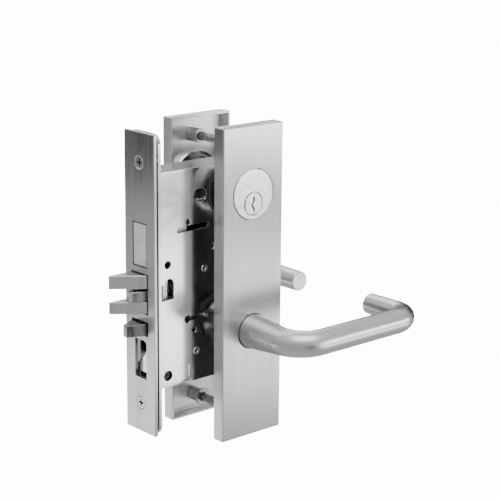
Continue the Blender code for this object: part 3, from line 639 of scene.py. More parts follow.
def cast_steel(name, colour, roughness):
    """Tumbled bolt metal: even fine pits, and edges painted lighter, partly rubbed by the strike and
    partly a painted highlight.
    """
    nodes = Nodes(name)
    grit = nodes.noise(nodes.coordinates((1400, 1400, 1400)), 3.0, 0.6)
    rubbed = nodes.noise(nodes.coordinates((500, 90, 90)), 4.0, 0.6)
    dark = tuple(value * 0.86 for value in colour)
    shade = nodes.mix(nodes.ramp(rubbed, 0.35, 0.65, 0.0, 1.0), dark, colour)
    # Edges painted lighter: partly rubbed by the strike, partly a painted highlight.
    bright = tuple(min(1.0, value * 1.35) for value in colour)
    tone = nodes.ramp(rubbed, 0.3, 0.7, roughness - 0.05, roughness + 0.06)
    nodes.metal(nodes.mix(nodes.edges(), shade, bright), tone)
    nodes.bump(grit, 0.2, 0.000008)
    return nodes.material


def black_oxide(name, colour, roughness):
    """Oiled black finish, thinner and greyer on the edges and threads, partly as wear and partly as a
    painted highlight.
    """
    nodes = Nodes(name)
    oil = nodes.noise(nodes.coordinates((260, 260, 260)), 4.0, 0.6, 0.4)
    # Edges painted a lighter grey: partly worn-through finish, partly a painted highlight.
    worn_and_highlight = (0.32, 0.32, 0.34)
    oily = tuple(value * 1.6 for value in colour)
    shade = nodes.mix(nodes.ramp(oil, 0.35, 0.7, 0.0, 1.0), colour, oily)
    tone = nodes.ramp(oil, 0.3, 0.7, roughness - 0.08, roughness + 0.1)
    nodes.metal(nodes.mix(nodes.edges(0.0002), shade, worn_and_highlight), tone, 0.85)
    nodes.bump(oil, 0.2, 0.00004)
    return nodes.material


def turned_metal(name, colour, roughness, centre):
    """Lathe-finished face: rings about a Y axis through the centre, with a slow mottling."""
    nodes = Nodes(name)
    place = nodes.new("ShaderNodeMapping")
    place.inputs["Location"].default_value = (-centre[0] * MM, 0, -centre[1] * MM)
    source = nodes.new("ShaderNodeTexCoord")
    nodes.link(source.outputs["Object"], place.inputs["Vector"])
    rings = nodes.new("ShaderNodeTexWave", wave_type="RINGS", rings_direction="Y")
    rings.inputs["Scale"].default_value = 900.0
    rings.inputs["Distortion"].default_value = 1.5
    nodes.link(place.outputs["Vector"], rings.inputs["Vector"])
    mottle = nodes.noise(nodes.coordinates((200, 200, 200)), 3.0, 0.5)
    dark = tuple(value * 0.93 for value in colour)
    shade = nodes.mix(rings.outputs["Fac"], dark, colour)
    nodes.metal(shade, nodes.ramp(mottle, 0.3, 0.7, roughness - 0.04, roughness + 0.05))
    nodes.bump(rings.outputs["Fac"], 0.2, 0.00002)
    return nodes.material


STEEL = (0.60, 0.605, 0.62)
PLATE_STEEL = brushed_steel("front_plate_satin", (0.58, 0.59, 0.61), 0.29, (700, 700, 12),
                            depth=0.000004, contrast=0.06, anisotropy=0.8)
TRIM_STEEL = brushed_steel("escutcheon_satin", STEEL, 0.32, (700, 700, 10),
                           depth=0.00001, contrast=0.10, anisotropy=0.8)
# A lighter copy of the satin stainless for the inside plate: painted light, brighter than the outside
# plate's same finish.
LIT_INSIDE_STEEL = brushed_steel("inside_satin_painted_light", (0.86, 0.865, 0.88), 0.44, (700, 700, 10),
                             depth=0.00001, contrast=0.10, anisotropy=0.8)
LEVER_STEEL = brushed_steel("lever_satin", STEEL, 0.29, (1100, 1100, 30),
                            depth=0.000006, contrast=0.06, attribute="grain_place")
ZINC = plated_steel("zinc_plate", (0.90, 0.90, 0.91), 0.17)
POLISHED_ZINC = plated_steel("rubbed_zinc", (0.80, 0.80, 0.81), 0.16)
BOLT_STEEL = cast_steel("bolt_steel", (0.62, 0.625, 0.64), 0.27)
DARK_STEEL = black_oxide("black_oxide", (0.055, 0.055, 0.06), 0.40)
CYLINDER_NICKEL = turned_metal("cylinder_nickel", (0.86, 0.86, 0.865), 0.26, (BACKSET, CYLINDER_Z))
PLUG_NICKEL = turned_metal("plug_nickel", (0.84, 0.84, 0.84), 0.28, (BACKSET, PLUG_Z))
SCREW_NICKEL = screw_metal("screw_nickel", (0.66, 0.66, 0.67), 0.28)
SPRING_STEEL = black_oxide("spring_steel", (0.20, 0.20, 0.21), 0.32)
BRONZE = cast_steel("oiled_bronze", (0.48, 0.34, 0.19), 0.45)
# A darker copy of the bolt stainless for the guard latch: painted shade.
SHADED_GUARD_STEEL = cast_steel("guard_steel_painted_shade", (0.36, 0.365, 0.375), 0.22)
POST_STEEL = cast_steel("post_steel", (0.42, 0.42, 0.43), 0.30)
DEADBOLT_STEEL = cast_steel("deadbolt_steel", (0.95, 0.95, 0.97), 0.46)
# Near-black material that paints shade: on the front screws' recesses and the back of the outside
# escutcheon.
PAINTED_SHADE_BLACK = black_oxide("painted_shade_black", (0.045, 0.045, 0.045), 0.5)
FLAG_CLOTH = black_oxide("flag_cloth", (0.004, 0.004, 0.004), 0.9)

SLOT_FINISH = {
    "satin_stainless": TRIM_STEEL,
    "zinc_plated_steel": ZINC,
    "bolt_stainless": BOLT_STEEL,
    "dark_steel": DARK_STEEL,
    "satin_nickel": SCREW_NICKEL,
    "spring_wire": SPRING_STEEL,
    "sintered_bronze": BRONZE,
}


def finish_kept_nodes():
    """The CAD pieces that stay as they are take the finish of their slot."""
    finishes = {part["node"]: part["material_slot"] for part in frame["record"]["subparts"]}
    for name, obj in frame["nodes"].items():
        obj.data.materials.clear()
        obj.data.materials.append(SLOT_FINISH[finishes[name]])


# ---------------------------------------------------------------- front of the lock

def plate_outline(radius, steps):
    """The outline that both front plates share, with round corners."""
    return rectangle(-PLATE_HALF_WIDTH, PLATE_HALF_WIDTH, -PLATE_HALF_HEIGHT, PLATE_HALF_HEIGHT,
                     radius, steps)


def build_front_plate():
    """Satin face plate: chamfered outline, bolt openings, window and two countersunk holes."""
    y0, y1, z0, z1 = WINDOW
    window = np.concatenate([[(y0, z0), (y1, z0), (y1, z1)], arc((y0 + 3, z1 - 3), 3, 90, 180, 8)])
    loops = [plate_outline(0.5, 3)] + [rectangle(*opening, 0.5) for opening in OPENINGS] + [window]
    profiles = [through(PLATE_THICK, 0.4)] + [through(PLATE_THICK, 0.12)] * (len(loops) - 1)
    for side in (-1, 1):
        loops.append(circle((0, side * PLATE_SCREW_Z), 2.5))
        profiles.append([(2.3, 0), (2.05, 0.1), (0, 2.2), (0, PLATE_THICK)])
    solid = pressed(Solid(), "YZ", 0.0, 1, loops, profiles)
    piece("face_plate", solid, "lock", PLATE_STEEL, "satin_stainless", "front_plate")


def build_armor_plate():
    """Second plate behind the first, with rounded corners and slightly larger openings.

    Its window ends in a slanted sill, and the window's edge is bevelled towards the front.
    """
    holes = [rectangle(a - 0.2, b + 0.2, c - 0.2, d + 0.2, 0.4) for a, b, c, d in OPENINGS]
    holes.append(rectangle(-8.7, 8.7, WINDOW[2] - 0.6, -61.0, 0.4))
    for side in (-1, 1):
        holes.append(circle((0, side * PLATE_SCREW_Z), 2.4))
        holes.append(circle((0, side * DOOR_SCREW_Z), 2.9))
    top = WINDOW[3] + 0.6
    sill = [(-8.7, -41.8), (-4.0, -41.8), (6.2, -55.6), (7.4, -55.0)]
    window = np.array([(7.4, top), (-8.7, top), *sill])
    thickness = ARMOR_X[1] - ARMOR_X[0]
    bevelled = [(1.3, 0.0), (0.0, 2.2), (0.0, thickness)]
    plain = through(thickness, 0.35)
    loops = [plate_outline(7.0, 10), *holes, window]
    solid = pressed(Solid(), "YZ", ARMOR_X[0], 1, loops, [plain] * (len(loops) - 1) + [bevelled])
    piece("backing_plate", solid, "lock", POLISHED_ZINC, "zinc_plated_steel", "armor_plate")


def cross_screw(solid, plane, face, direction, at, head, shank, length, recess):
    """A screw with a cross recess: the head's rounded edge, its cone or flat, then the shank.

    The head is (radius, height, how far its cone narrows) and the recess is (size, depth).
    """
    head_radius, head_height, cone = head
    rim, point = 0.35, 0.6
    step = head_radius - shank
    profile = edge(rim) + [(0, rim + 0.1), (cone, head_height), (step, head_height),
                           (step, length - point), (step + point, length)]
    size, depth = recess
    well = [(0.12, 0.0), (0.0, 0.12), (-0.16, depth * 0.7), (-0.3, depth)]
    pressed(solid, plane, face, direction, [circle(at, head_radius, 40), cross(at, size, size * 0.27)],
            [profile, well])
    return solid


def darken(part, hidden):
    """Paints shade on the faces that hidden(centre in millimetres, normal) picks, with a dull dark
    material.
    """
    part.data.materials.append(PAINTED_SHADE_BLACK)
    for polygon in part.data.polygons:
        if hidden(polygon.center / MM, polygon.normal):
            polygon.material_index = 1


def build_front_screws():
    """Flat-headed cross screws of the front plate, with painted shade below the rim of the recess."""
    face, painted_shade_depth = 0.15, 0.55
    for word, side in (("top", 1), ("bottom", -1)):
        at = (0, side * PLATE_SCREW_Z)
        solid = cross_screw(Solid(), "YZ", face, 1, at, (4.2, 2.3, 2.15), 2.0, 12.8, (4.9, 1.4))
        screw = piece(f"face_screw_{word}", solid, "lock", SCREW_NICKEL, "satin_nickel",
                      f"front_screw_{word}")
        # Painted shade: the recess below its rim is painted dark.
        darken(screw, lambda centre, normal: centre.x > painted_shade_depth)


# ---------------------------------------------------------------- lock case

def build_case_cover():
    """Pressed cover: outline with its notches, holes, round marks and a raised tab."""
    left, right = COVER_X
    low, high = CASE_Z
    outline = np.concatenate([
        [(left, low), (24.7, low), (26.4, -69.6), (28.4, -68.9)],
        [(33.2, -68.9), (34.6, -69.6), (35.4, low)],
        [(right, low), (right, high), (left, high), (left, 73.6), (left + 0.8, 73.6), (left + 0.8, 70.4),
         (left, 70.4), (left, -0.6), (12.4, -0.6)],
        arc((16.1, -0.4), 3.7, 180, 0, 14),
        [(19.8, -10.6), (left, -11.2)],
    ])
    keyhole = np.concatenate([arc((31.6, -27.3), 2.7, 28, 332, 20),
                              [(48.0, -28.6), (48.6, -28.0), (48.6, -25.4), (48.0, -25.0)]])
    holes = [
        circle((BACKSET, CYLINDER_Z), 15.1, 72), circle((BACKSET, LEVER_Z), 11.0, 60),
        circle((31.8, 39.4), 2.1, 28), circle((14.8, 13.0), 2.6, 28),
        slot((24.4, 34.8), (47.0, 35.6), 1.9), rectangle(36.9, 47.0, 52.3, 60.6, 3.6, 8),
        keyhole, circle((36.7, -35.5), 2.0, 28), circle(CASE_SCREWS["front"][0], 3.45, 36),
        circle(CASE_SCREWS["top"][0], 2.3, 24), circle(CASE_SCREWS["bottom"][0], 2.3, 24),
    ]
    loops = [outline] + holes
    profiles = [through(WALL, 0.3)] + [through(WALL, 0.25)] * len(holes)
    for at, radius, depth in COVER_MARKS:
        loops.append(circle(at, radius, 24))
        profiles.append([(0.0, 0.0), (-0.12, depth * 0.5), (-0.2, depth)])
    loops.append(rectangle(31.6, 34.2, -67.6, -58.7, 0.8))
    profiles.append([(0.0, 0.0), (-0.25, -0.35), (-0.6, -0.55)])
    solid = pressed(Solid(), "XZ", -CASE_HALF, 1, loops, profiles)
    piece("cover_plate", solid, "lock", ZINC, "zinc_plated_steel", "case_cover")


def build_rivets():
    """Pivot ends that are headed over on the cover: a washer-like ring with a punched middle."""
    face = -CASE_HALF
    for word, (at, radius) in RIVETS.items():
        profile = [(0, face - 0.02), (radius * 0.34, face - 0.02), (radius * 0.44, face - 0.42),
                   (radius * 0.86, face - 0.42), (radius, face - 0.2), (radius, face + 0.3),
                   (0, face + 0.3)]
        slot_name = "dark_steel" if word == "dog" else "zinc_plated_steel"
        solid = revolved(Solid(), "Y", at, profile, 40)
        piece(f"rivet_{word}", solid, "lock", SLOT_FINISH[slot_name], slot_name)


def build_case_screws():
    """Round-headed cross screws of the cover: the front one sits in its hole."""
    for word, (at, face, radius) in CASE_SCREWS.items():
        head, recess = (radius, 1.6, 0.0), (radius * 1.35, 1.0)
        solid = cross_screw(Solid(), "XZ", face, 1, at, head, 1.55, 13.0, recess)
        finish = DARK_STEEL if word == "front" else SCREW_NICKEL
        piece(f"cover_screw_{word}", solid, "lock", finish, "satin_nickel", f"case_screw_{word}")


def build_support_ring():
    """Ring that stands on the cover round the cylinder's hole."""
    low, high = -CASE_HALF - 1.3, -CASE_HALF - 0.3
    profile = [(15.3, low + 0.2), (15.5, low), (20.3, low), (20.6, low + 0.3), (20.6, high),
               (15.3, high)]
    solid = revolved(Solid(), "Y", (BACKSET, CYLINDER_Z), profile, 96)
    piece("support_ring", solid, "lock", DARK_STEEL, "dark_steel", "cylinder_support_ring")


# ---------------------------------------------------------------- bolts

def build_deadbolt():
    """Square bolt with rounded edges, its slotted tail plate and the guide slot."""
    solid = Solid()
    profile = edge(0.3, 4) + [(0, 33.3), (0.5, 33.8)]
    pressed(solid, "YZ", 0.2, 1, [rectangle(*DEADBOLT_FACE, 0.6)], [profile])
    outline = [(30, 33), (89, 33), (89, 49.5), (35.6, 49.5), (35.6, 41.0), (30, 41.0)]
    start_x, slot_z = DEADBOLT_SLOT
    pin_x = BACKSET + DEADBOLT_THROW / 2
    holes = [slot((start_x, slot_z), (start_x + DEADBOLT_THROW, slot_z), 2.9),
             rectangle(pin_x - 3.4, pin_x + 3.4, 35.6, 47.2, 2.5)]
    sheet(solid, "XZ", (2.0, 5.0), np.array(outline, float), holes, 0.3)
    piece("deadbolt_bar", solid, "deadbolt", DEADBOLT_STEEL, "bolt_stainless", "deadbolt")


def latch_plan():
    """Plan of the latch: rounded tip on the inside, long bevel to the outside, square back."""
    nose = arc((-18.2, LATCH_INSIDE - 0.8), 0.8, 225, 90, 4)
    back = [(17.3, LATCH_INSIDE), (17.3, OUTSIDE_FLANK), (0.3, OUTSIDE_FLANK)]
    return np.concatenate([nose, back])


def build_latch():
    """Two beveled prongs on a block, the round tail, and the hook that the hub pulls."""
    solid = Solid()
    plan = latch_plan()
    for span in LATCH_PRONGS_Z:
        sheet(solid, "XY", span, plan, (), 0.55)
    bridge = rectangle(13.3, 17.25, OUTSIDE_FLANK + 0.05, LATCH_INSIDE - 0.05, 0.3)
    sheet(solid, "XY", (-10.6, -1.2), bridge, (), 0.1)
    profile = [(0, 74), (2.4, 74), (3, 73.4), (3, 17.0), (0, 17.0)]
    revolved(solid, "X", (0, LATCH_AXIS_Z), profile, 32)
    tip_x = BACKSET - 22.5 * math.sin(math.radians(25))
    hook = rectangle(tip_x + 3.4, tip_x + 8.0, -6.4, 1.0, 0.4)
    sheet(solid, "XY", (-18.8, LATCH_AXIS_Z), hook, (), 0.3)
    piece("latch_head", solid, "latch", BOLT_STEEL, "bolt_stainless", "latch_bolt")
    tongue = np.concatenate([[(-9.4, 2.0)], arc((-7.4, -1.4), 2.0, 180, 246, 8),
                             [(0.6, -6.8), (12.1, -6.8), (12.1, 8.4), (6.5, 8.4)]])
    solid = sheet(Solid(), "XY", (-9.9, -3.1), tongue, [circle((10.0, 6.1), 1.5, 24)], 0.35)
    piece("latch_trigger", solid, "latch_tongue", BOLT_STEEL, "bolt_stainless", "latch_tongue")


def build_guard_latch():
    """Auxiliary latch with a blunt nose and two bevels, its shoulder and its round tail."""
    plan = np.array([(-GUARD_REACH, GUARD_NOSE), (0.6, GUARD_INSIDE), (14.0, GUARD_INSIDE),
                     (14.0, OUTSIDE_FLANK), (0.6, OUTSIDE_FLANK), (-GUARD_REACH, -GUARD_NOSE)])
    solid = sheet(Solid(), "XY", GUARD_Z, plan, (), 0.5)
    tail = [(0, 42), (1.8, 42), (2.4, 41.4), (2.4, 13.6), (0, 13.6)]
    revolved(solid, "X", (0, GUARD_AXIS_Z), tail, 32)
    # The guard latch takes the darker copy of the bolt stainless: painted shade.
    piece("guard_bolt", solid, "guard_latch", SHADED_GUARD_STEEL, "bolt_stainless", "guard_latch")


def bolt_spring(name, node, axis_z, span, radius, wire_radius, turns):
    """A spring between a latch and its guide, given a mesh of its own."""
    solid = coil(Solid(), "X", (0, axis_z), span, radius, wire_radius, turns)
    spring = piece(name, solid, "lock", SPRING_STEEL, "spring_wire", node, angle=60)
    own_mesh(spring)


def build_bolt_springs():
    """The springs of the latch and of the guard latch."""
    bolt_spring("latch_return_spring", "latch_spring", LATCH_AXIS_Z,
                LATCH_SPRING_X, 4.9, 0.75, 9)
    bolt_spring("guard_return_spring", "guard_spring", GUARD_AXIS_Z,
                GUARD_SPRING_X, 3.9, 0.6, 8)


# ---------------------------------------------------------------- trim

def escutcheon(side, holes, hole_profiles):
    """A pan: rounded face edge, side, rim on the door, then up the inside to the floor."""
    depth = ESC_FACE - DOOR_HALF
    outline = rectangle(BACKSET - ESC_HALF_WIDTH, BACKSET + ESC_HALF_WIDTH, *ESC_Z, 0.6, 3)
    wall = ESC_WALL
    rim = edge(0.7, 4) + [(0, depth - 0.3), (0.3, depth), (wall - 0.2, depth), (wall, depth - 0.2),
                          (wall, wall + 0.8), (wall + 0.25, wall + 0.25), (wall + 0.8, wall)]
    return pressed(Solid(), "XZ", side * ESC_FACE, -side, [outline, *holes], [rim, *hole_profiles])


def build_escutcheons():
    """Both trim plates; the outside one has painted shade, a dull dark material, on its hidden floor."""
    plain = through(ESC_WALL, 0.3)
    lever_hole = circle((BACKSET, LEVER_Z), NECK_RADIUS + 0.4, 72)
    cylinder_hole = circle((BACKSET, CYLINDER_Z), 17.55, 96)
    solid = escutcheon(-1, [lever_hole, cylinder_hole], [plain, plain])
    plate = piece("outside_plate", solid, "lock", TRIM_STEEL, "satin_stainless", "outside_escutcheon")
    # Painted shade: the back of the outside plate's face, which faces the door, is painted near black.
    darken(plate, lambda centre, normal: normal.y > 0.5 and centre.y < -DOOR_HALF - 1)
    sink = [(1.85, 0.0), (1.7, 0.12), (0.0, 1.5), (0.0, ESC_WALL)]
    holes = [lever_hole, circle((BACKSET, CYLINDER_Z), 4.6, 40)]
    holes += [circle((POST_X, z), 3.5, 40) for z in POST_Z]
    solid = escutcheon(1, holes, [plain, plain, sink, sink])
    # The inside plate takes the lighter copy of the satin stainless: painted light.
    piece("inside_plate", solid, "lock", LIT_INSIDE_STEEL, "satin_stainless", "inside_escutcheon")


def lever_line(side):
    """Centre line in plan: straight neck, quarter bend, bar, quarter bend, straight return."""
    inner = ESC_FACE - ESC_WALL - NECK_INSIDE
    bar = ESC_FACE + LEVER_STANDOFF
    end = ESC_FACE + END_GAP
    end_x = BACKSET + LEVER_REACH
    neck = np.column_stack([np.full(16, BACKSET), np.linspace(inner, bar - NECK_BEND, 16)])
    bend = arc((BACKSET + NECK_BEND, bar - NECK_BEND), NECK_BEND, 180, 90, 28)[1:]
    between = np.linspace(BACKSET + NECK_BEND, end_x - RETURN_BEND, 18)[1:-1]
    straight = np.column_stack([between, np.full(16, bar)])
    turn = arc((end_x - RETURN_BEND, bar - RETURN_BEND), RETURN_BEND, 90, 0, 28)
    last = np.column_stack([np.full(8, end_x), np.linspace(bar - RETURN_BEND, end, 9)[1:]])
    plan = np.concatenate([neck, bend, straight, turn, last])
    return np.column_stack([plan[:, 0], side * plan[:, 1], np.full(len(plan), LEVER_Z)])


def lever_radii(line):
    """Radius from the length along the lever: a flared neck, an even bar, a slimmer return."""
    length = line_length(line)
    face = NECK_INSIDE + ESC_WALL
    bend_start = LEVER_STANDOFF - NECK_BEND + face
    bend_end = bend_start + NECK_BEND * math.pi / 2
    turn_start = bend_end + LEVER_REACH - NECK_BEND - RETURN_BEND
    turn_end = turn_start + RETURN_BEND * math.pi / 2
    places = [0, face, bend_start, bend_end, turn_start, turn_end, length[-1]]
    radii = [NECK_RADIUS, NECK_RADIUS, 9.5, BAR_RADIUS, BAR_RADIUS, 7.93, END_RADIUS]
    return np.interp(length, places, radii)


def build_lever(word, side):
    """Return lever with an open socket for its spindle in the neck, and a rounded end."""
    line = lever_line(side)
    radii = lever_radii(line)
    inner, bottom = line[0], line[0] + np.array([0, side * SOCKET_DEPTH, 0])
    lead = [bottom, inner + [0, side * 0.3, 0], inner, inner, inner + [0, side * 0.25, 0]]
    lead_radii = [5.9, 5.9, 6.2, NECK_RADIUS - 0.25, NECK_RADIUS]
    end = line[-1]
    rounding = edge(0.9, 5)[::-1]
    tail = [end + [0, side * depth, 0] for _, depth in rounding]
    tail_radii = [radii[-1] - distance for distance, _ in rounding]
    path = np.concatenate([lead, line[1:-1], tail])
    sizes = np.concatenate([lead_radii, radii[1:-1], tail_radii])
    solid = lever_bar(path, sizes, side)
    piece(f"{word}_handle", solid, f"{word}_lever", LEVER_STEEL, "satin_stainless", f"{word}_lever",
          angle=40)


def lever_bar(path, radii, side):
    """The lever's surface: rings square to its centre line, which turns only in the bends.

    A ring's direction comes from the plan's own tangent, so rings that share a place, as at
    the socket's mouth and the rounded end, stay parallel.
    """
    straight_neck = np.abs(path[:, 0] - BACKSET) < 1e-6
    straight_end = np.abs(path[:, 0] - (BACKSET + LEVER_REACH)) < 1e-6
    step = np.gradient(path, axis=0)
    tangent = step / np.maximum(np.linalg.norm(step, axis=1, keepdims=True), 1e-9)
    tangent[straight_neck] = (0, side, 0)
    tangent[straight_end] = (0, -side, 0)
    up = np.tile([0.0, 0.0, 1.0], (len(path), 1))
    return round_bar(Solid(), path, radii, up, np.cross(tangent, up), 72)


def build_posts():
    """Threaded bosses behind the escutcheons, and the screwed bolts between them."""
    floor = ESC_FACE - ESC_WALL - 0.3
    for word, z in (("top", POST_Z[0]), ("bottom", POST_Z[1])):
        at = (POST_X, z)
        flange = 4.9 if word == "top" else 6.2
        near = 20.2 if word == "top" else 18.0
        inside = [(4.9, floor), (4.9, near + 1.8), (flange - 0.2, near + 1.7),
                  (flange, near + 1.4), (flange, near + 0.3), (flange - 0.3, near),
                  (3.35, near), (3.25, near + 0.2), (3.25, floor)]
        outside = [(4.9, -17.0), (5.2, -17.3), (5.2, -floor), (3.25, -floor), (3.25, -17.2),
                   (3.4, -17.0)]
        for where, profile in (("inside", inside), ("outside", outside)):
            solid = revolved(Solid(), "Y", at, profile, 48)
            piece(f"{where}_boss_{word}", solid, "lock", POST_STEEL, "dark_steel",
                  f"{where}_post_{word}")
        solid = threaded(Solid(), at, (-29.6, 14.0), 2.95, 1.0, 0.35, 32)
        cross_screw(solid, "XZ", 33.2, -1, at, (5.0, 3.1, 2.1), 2.75, 22.0, (4.9, 1.5))
        piece(f"through_screw_{word}", solid, "lock", SPRING_STEEL, "dark_steel", f"through_bolt_{word}")


# ---------------------------------------------------------------- cylinder and thumbturn

def keyway():
    """A zigzag slot: a centre line with half its width to each side."""
    middle = np.array([(0.3, 4.7), (0.3, 1.6), (-1.5, -0.9), (0.4, -3.4), (0.4, -5.6)])
    place = middle + np.array([BACKSET, PLUG_Z])
    width = np.array([0.65, 0.0])
    return np.concatenate([(place - width)[::-1], place + width])


def build_cylinder():
    """Mortise cylinder: head with a fine outer step, body, plug with its keyway."""
    solid = Solid()
    at, plug = (BACKSET, CYLINDER_Z), (BACKSET, PLUG_Z)
    head = edge(0.4, 3) + [(0, 4.2)]
    bore = [(0.0, 0.0), (-0.35, 0.5), (-0.35, 4.2)]
    outline, recess = circle(at, CYLINDER_HEAD_RADIUS, 120), circle(plug, PLUG_RECESS_RADIUS, 64)
    hole = circle(plug, PLUG_BORE_RADIUS, 48)
    pressed(solid, "XZ", -32.4, 1, [outline, recess], [head, bore])
    sheet(solid, "XZ", (-28.2, -4.7), circle(at, 14.3, 96), [hole], 0.3)
    sheet(solid, "XZ", (-30.2, -28.2), recess, [hole], 0.05)
    piece("cylinder_shell", solid, "lock", CYLINDER_NICKEL, "satin_nickel", "cylinder_body")
    solid = Solid()
    sheet(solid, "XZ", (-32.5, -30.6), circle(plug, PLUG_FACE_RADIUS, 64), [keyway()], 0.3)
    sheet(solid, "XZ", (-30.6, -12.0), circle(plug, PLUG_RADIUS, 48), [keyway()], 0.05)
    sheet(solid, "XZ", (-12.0, -4.7), circle(plug, PLUG_RADIUS, 48), (), 0.3)
    piece("plug_barrel", solid, "cylinder_plug", PLUG_NICKEL, "satin_nickel", "cylinder_plug")


def turn_grip(solid, at):
    """A wing on a superellipse: its height rises as a sine while its outline shrinks to nothing.

    Along Z it is half width * sign(sin a) * |sin a| ** 0.35 and along X it is half thickness *
    sign(cos a) * |cos a| ** 0.5, both times (1 - h ** 6) ** 0.4 for h from 0 to 1.
    """
    rows, sides = 40, 48
    height = np.linspace(0, 1, rows)[:-1, None]
    angle = np.linspace(0, 2 * math.pi, sides, endpoint=False)[None, :]
    shrink = (1 - height ** 6) ** 0.4
    wide = np.sign(np.sin(angle)) * np.abs(np.sin(angle)) ** 0.35 * GRIP_HALF_WIDTH * shrink
    thick = np.sign(np.cos(angle)) * np.abs(np.cos(angle)) ** 0.5 * GRIP_HALF_THICK * shrink
    level = GRIP_BASE + GRIP_HEIGHT * np.sin(height * math.pi / 2)
    grid = np.stack([at[0] + thick, np.broadcast_to(level, wide.shape), at[1] + wide], axis=2)
    ends = [(at[0], end, at[1]) for end in (GRIP_BASE, GRIP_BASE + GRIP_HEIGHT)]
    return stacked(solid, grid, ends)


def build_thumbturn():
    """Turned rose with a winged grip across it, and the dished washer behind the escutcheon."""
    at = (BACKSET, CYLINDER_Z)
    rose = [(0, 39.4), (4.6, 39.4), (7.4, 38.6), (9.4, 37.2), (10.7, 35.6), (11.2, 34.2),
            (11.2, 32.7), (11.0, 32.5), (0, 32.5)]
    solid = turn_grip(revolved(Solid(), "Y", at, rose, 72), at)
    piece("turn_grip", solid, "thumbturn", TRIM_STEEL, "satin_stainless", "thumbturn_knob", angle=45)
    low, high = 27.4, ESC_FACE - ESC_WALL - 0.3
    washer = [(5.2, high), (20.5, high), (20.5, low + 0.4), (20.1, low), (17.6, low),
              (17.2, low + 0.9), (8.0, low + 0.9), (7.6, low), (5.2, low)]
    solid = revolved(Solid(), "Y", at, washer, 96)
    piece("turn_washer", solid, "lock", ZINC, "zinc_plated_steel", "thumbturn_plate")


# ---------------------------------------------------------------- studio

def direction(azimuth, elevation):
    """Azimuth 0 is the outside of the door and 90 is away from the door's edge."""
    azimuth, elevation = math.radians(azimuth), math.radians(elevation)
    level = math.cos(elevation)
    return Vector((math.sin(azimuth) * level, -math.cos(azimuth) * level, math.sin(elevation)))


def build_camera():
    """Camera that looks at the target from the outside and from the door's edge, a little rolled."""
    azimuth, roll = math.radians(CAMERA_AZIMUTH), math.radians(CAMERA_ROLL)
    back = direction(CAMERA_AZIMUTH, CAMERA_ELEVATION)
    level = Vector((math.cos(azimuth), math.sin(azimuth), 0))
    upright = back.cross(level)
    right = level * math.cos(roll) + upright * math.sin(roll)
    up = upright * math.cos(roll) - level * math.sin(roll)
    centre = Vector(CAMERA_TARGET) + back * CAMERA_DISTANCE
    data = bpy.data.cameras.new("studio_camera")
    data.lens = CAMERA_LENS
    data.sensor_width = 36.0
    data.shift_x, data.shift_y = CAMERA_SHIFT
    data.clip_start = 0.01
    camera = bpy.data.objects.new("studio_camera", data)
    camera.matrix_world = Matrix((right, up, back)).transposed().to_4x4()
    camera.location = centre
    bpy.context.scene.collection.objects.link(camera)
    bpy.context.scene.camera = camera


def softbox(name, azimuth, elevation, distance, size, radiance):
    """A rectangular light that faces the lock and is as bright as radiance says at any size."""
    data = bpy.data.lights.new(name, "AREA")
    data.shape = "RECTANGLE"
    data.size, data.size_y = size
    data.energy = radiance * math.pi * size[0] * size[1]
    light = bpy.data.objects.new(name, data)
    towards = direction(azimuth, elevation)
    light.location = Vector(STUDIO_CENTRE) + towards * distance
    light.rotation_euler = towards.to_track_quat("Z", "Y").to_euler()
    light.visible_camera = False
    bpy.context.scene.collection.objects.link(light)


def flag(name, azimuth, elevation, distance, size):
    """A black card that faces the lock and that the camera doesn't see."""
    bpy.ops.mesh.primitive_plane_add(size=1)
    card = bpy.context.object
    card.name = name
    card.scale = (*size, 1)
    towards = direction(azimuth, elevation)
    card.location = Vector(STUDIO_CENTRE) + towards * distance
    card.rotation_euler = towards.to_track_quat("Z", "Y").to_euler()
    card.visible_camera = False
    card.data.materials.append(FLAG_CLOTH)


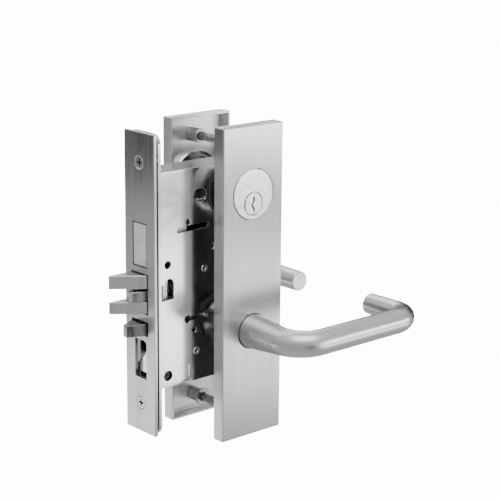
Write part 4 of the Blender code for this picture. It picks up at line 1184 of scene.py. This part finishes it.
def build_world():
    """Surroundings that light the metal softly from above, behind a clean white backdrop."""
    world = bpy.data.worlds.new("studio_world")
    world.use_nodes = True
    tree = world.node_tree
    background = tree.nodes["Background"]
    background.inputs["Color"].default_value = (1, 1, 1, 1)
    place = tree.nodes.new("ShaderNodeTexCoord")
    parts = tree.nodes.new("ShaderNodeSeparateXYZ")
    rise = tree.nodes.new("ShaderNodeMapRange")
    path = tree.nodes.new("ShaderNodeLightPath")
    choose = tree.nodes.new("ShaderNodeMix")
    tree.links.new(place.outputs["Generated"], parts.inputs["Vector"])
    tree.links.new(parts.outputs["Z"], rise.inputs["Value"])
    rise.inputs["From Min"].default_value = -0.15
    rise.inputs["From Max"].default_value = 0.7
    rise.inputs["To Min"].default_value = SURROUND[0]
    rise.inputs["To Max"].default_value = SURROUND[1]
    tree.links.new(path.outputs["Is Camera Ray"], choose.inputs["Factor"])
    tree.links.new(rise.outputs["Result"], choose.inputs["A"])
    choose.inputs["B"].default_value = BACKDROP
    tree.links.new(choose.outputs["Result"], background.inputs["Strength"])
    bpy.context.scene.world = world


def build_floor():
    """Pale floor far below the lock, overexposed like the backdrop where it is looked at."""
    bpy.ops.mesh.primitive_plane_add(size=60, location=(0, 0, FLOOR_Z))
    floor = bpy.context.object
    floor.name = "studio_floor"
    nodes = Nodes("studio_floor_paint")
    nodes.metal((0.6, 0.6, 0.6), 0.8, 0.0)
    path = nodes.new("ShaderNodeLightPath")
    glow = nodes.new("ShaderNodeEmission")
    glow.inputs["Strength"].default_value = BACKDROP
    choose = nodes.new("ShaderNodeMixShader")
    nodes.link(path.outputs["Is Camera Ray"], choose.inputs["Fac"])
    nodes.link(nodes.shader.outputs["BSDF"], choose.inputs[1])
    nodes.link(glow.outputs["Emission"], choose.inputs[2])
    nodes.link(choose.outputs["Shader"], nodes.tree.nodes["Material Output"].inputs["Surface"])
    floor.data.materials.append(nodes.material)


def build_studio():
    """Floor, surroundings, lights and black cards."""
    build_floor()
    build_world()
    for name, values in SOFTBOXES.items():
        softbox(name, *values)
    for name, values in FLAGS.items():
        flag(name, *values)


finish_kept_nodes()
build_front_plate()
build_armor_plate()
build_front_screws()
build_case_cover()
build_rivets()
build_case_screws()
build_support_ring()
build_deadbolt()
build_latch()
build_guard_latch()
build_bolt_springs()
build_escutcheons()
build_lever("outside", -1)
build_lever("inside", 1)
build_posts()
build_cylinder()
build_thumbturn()
build_camera()
build_studio()
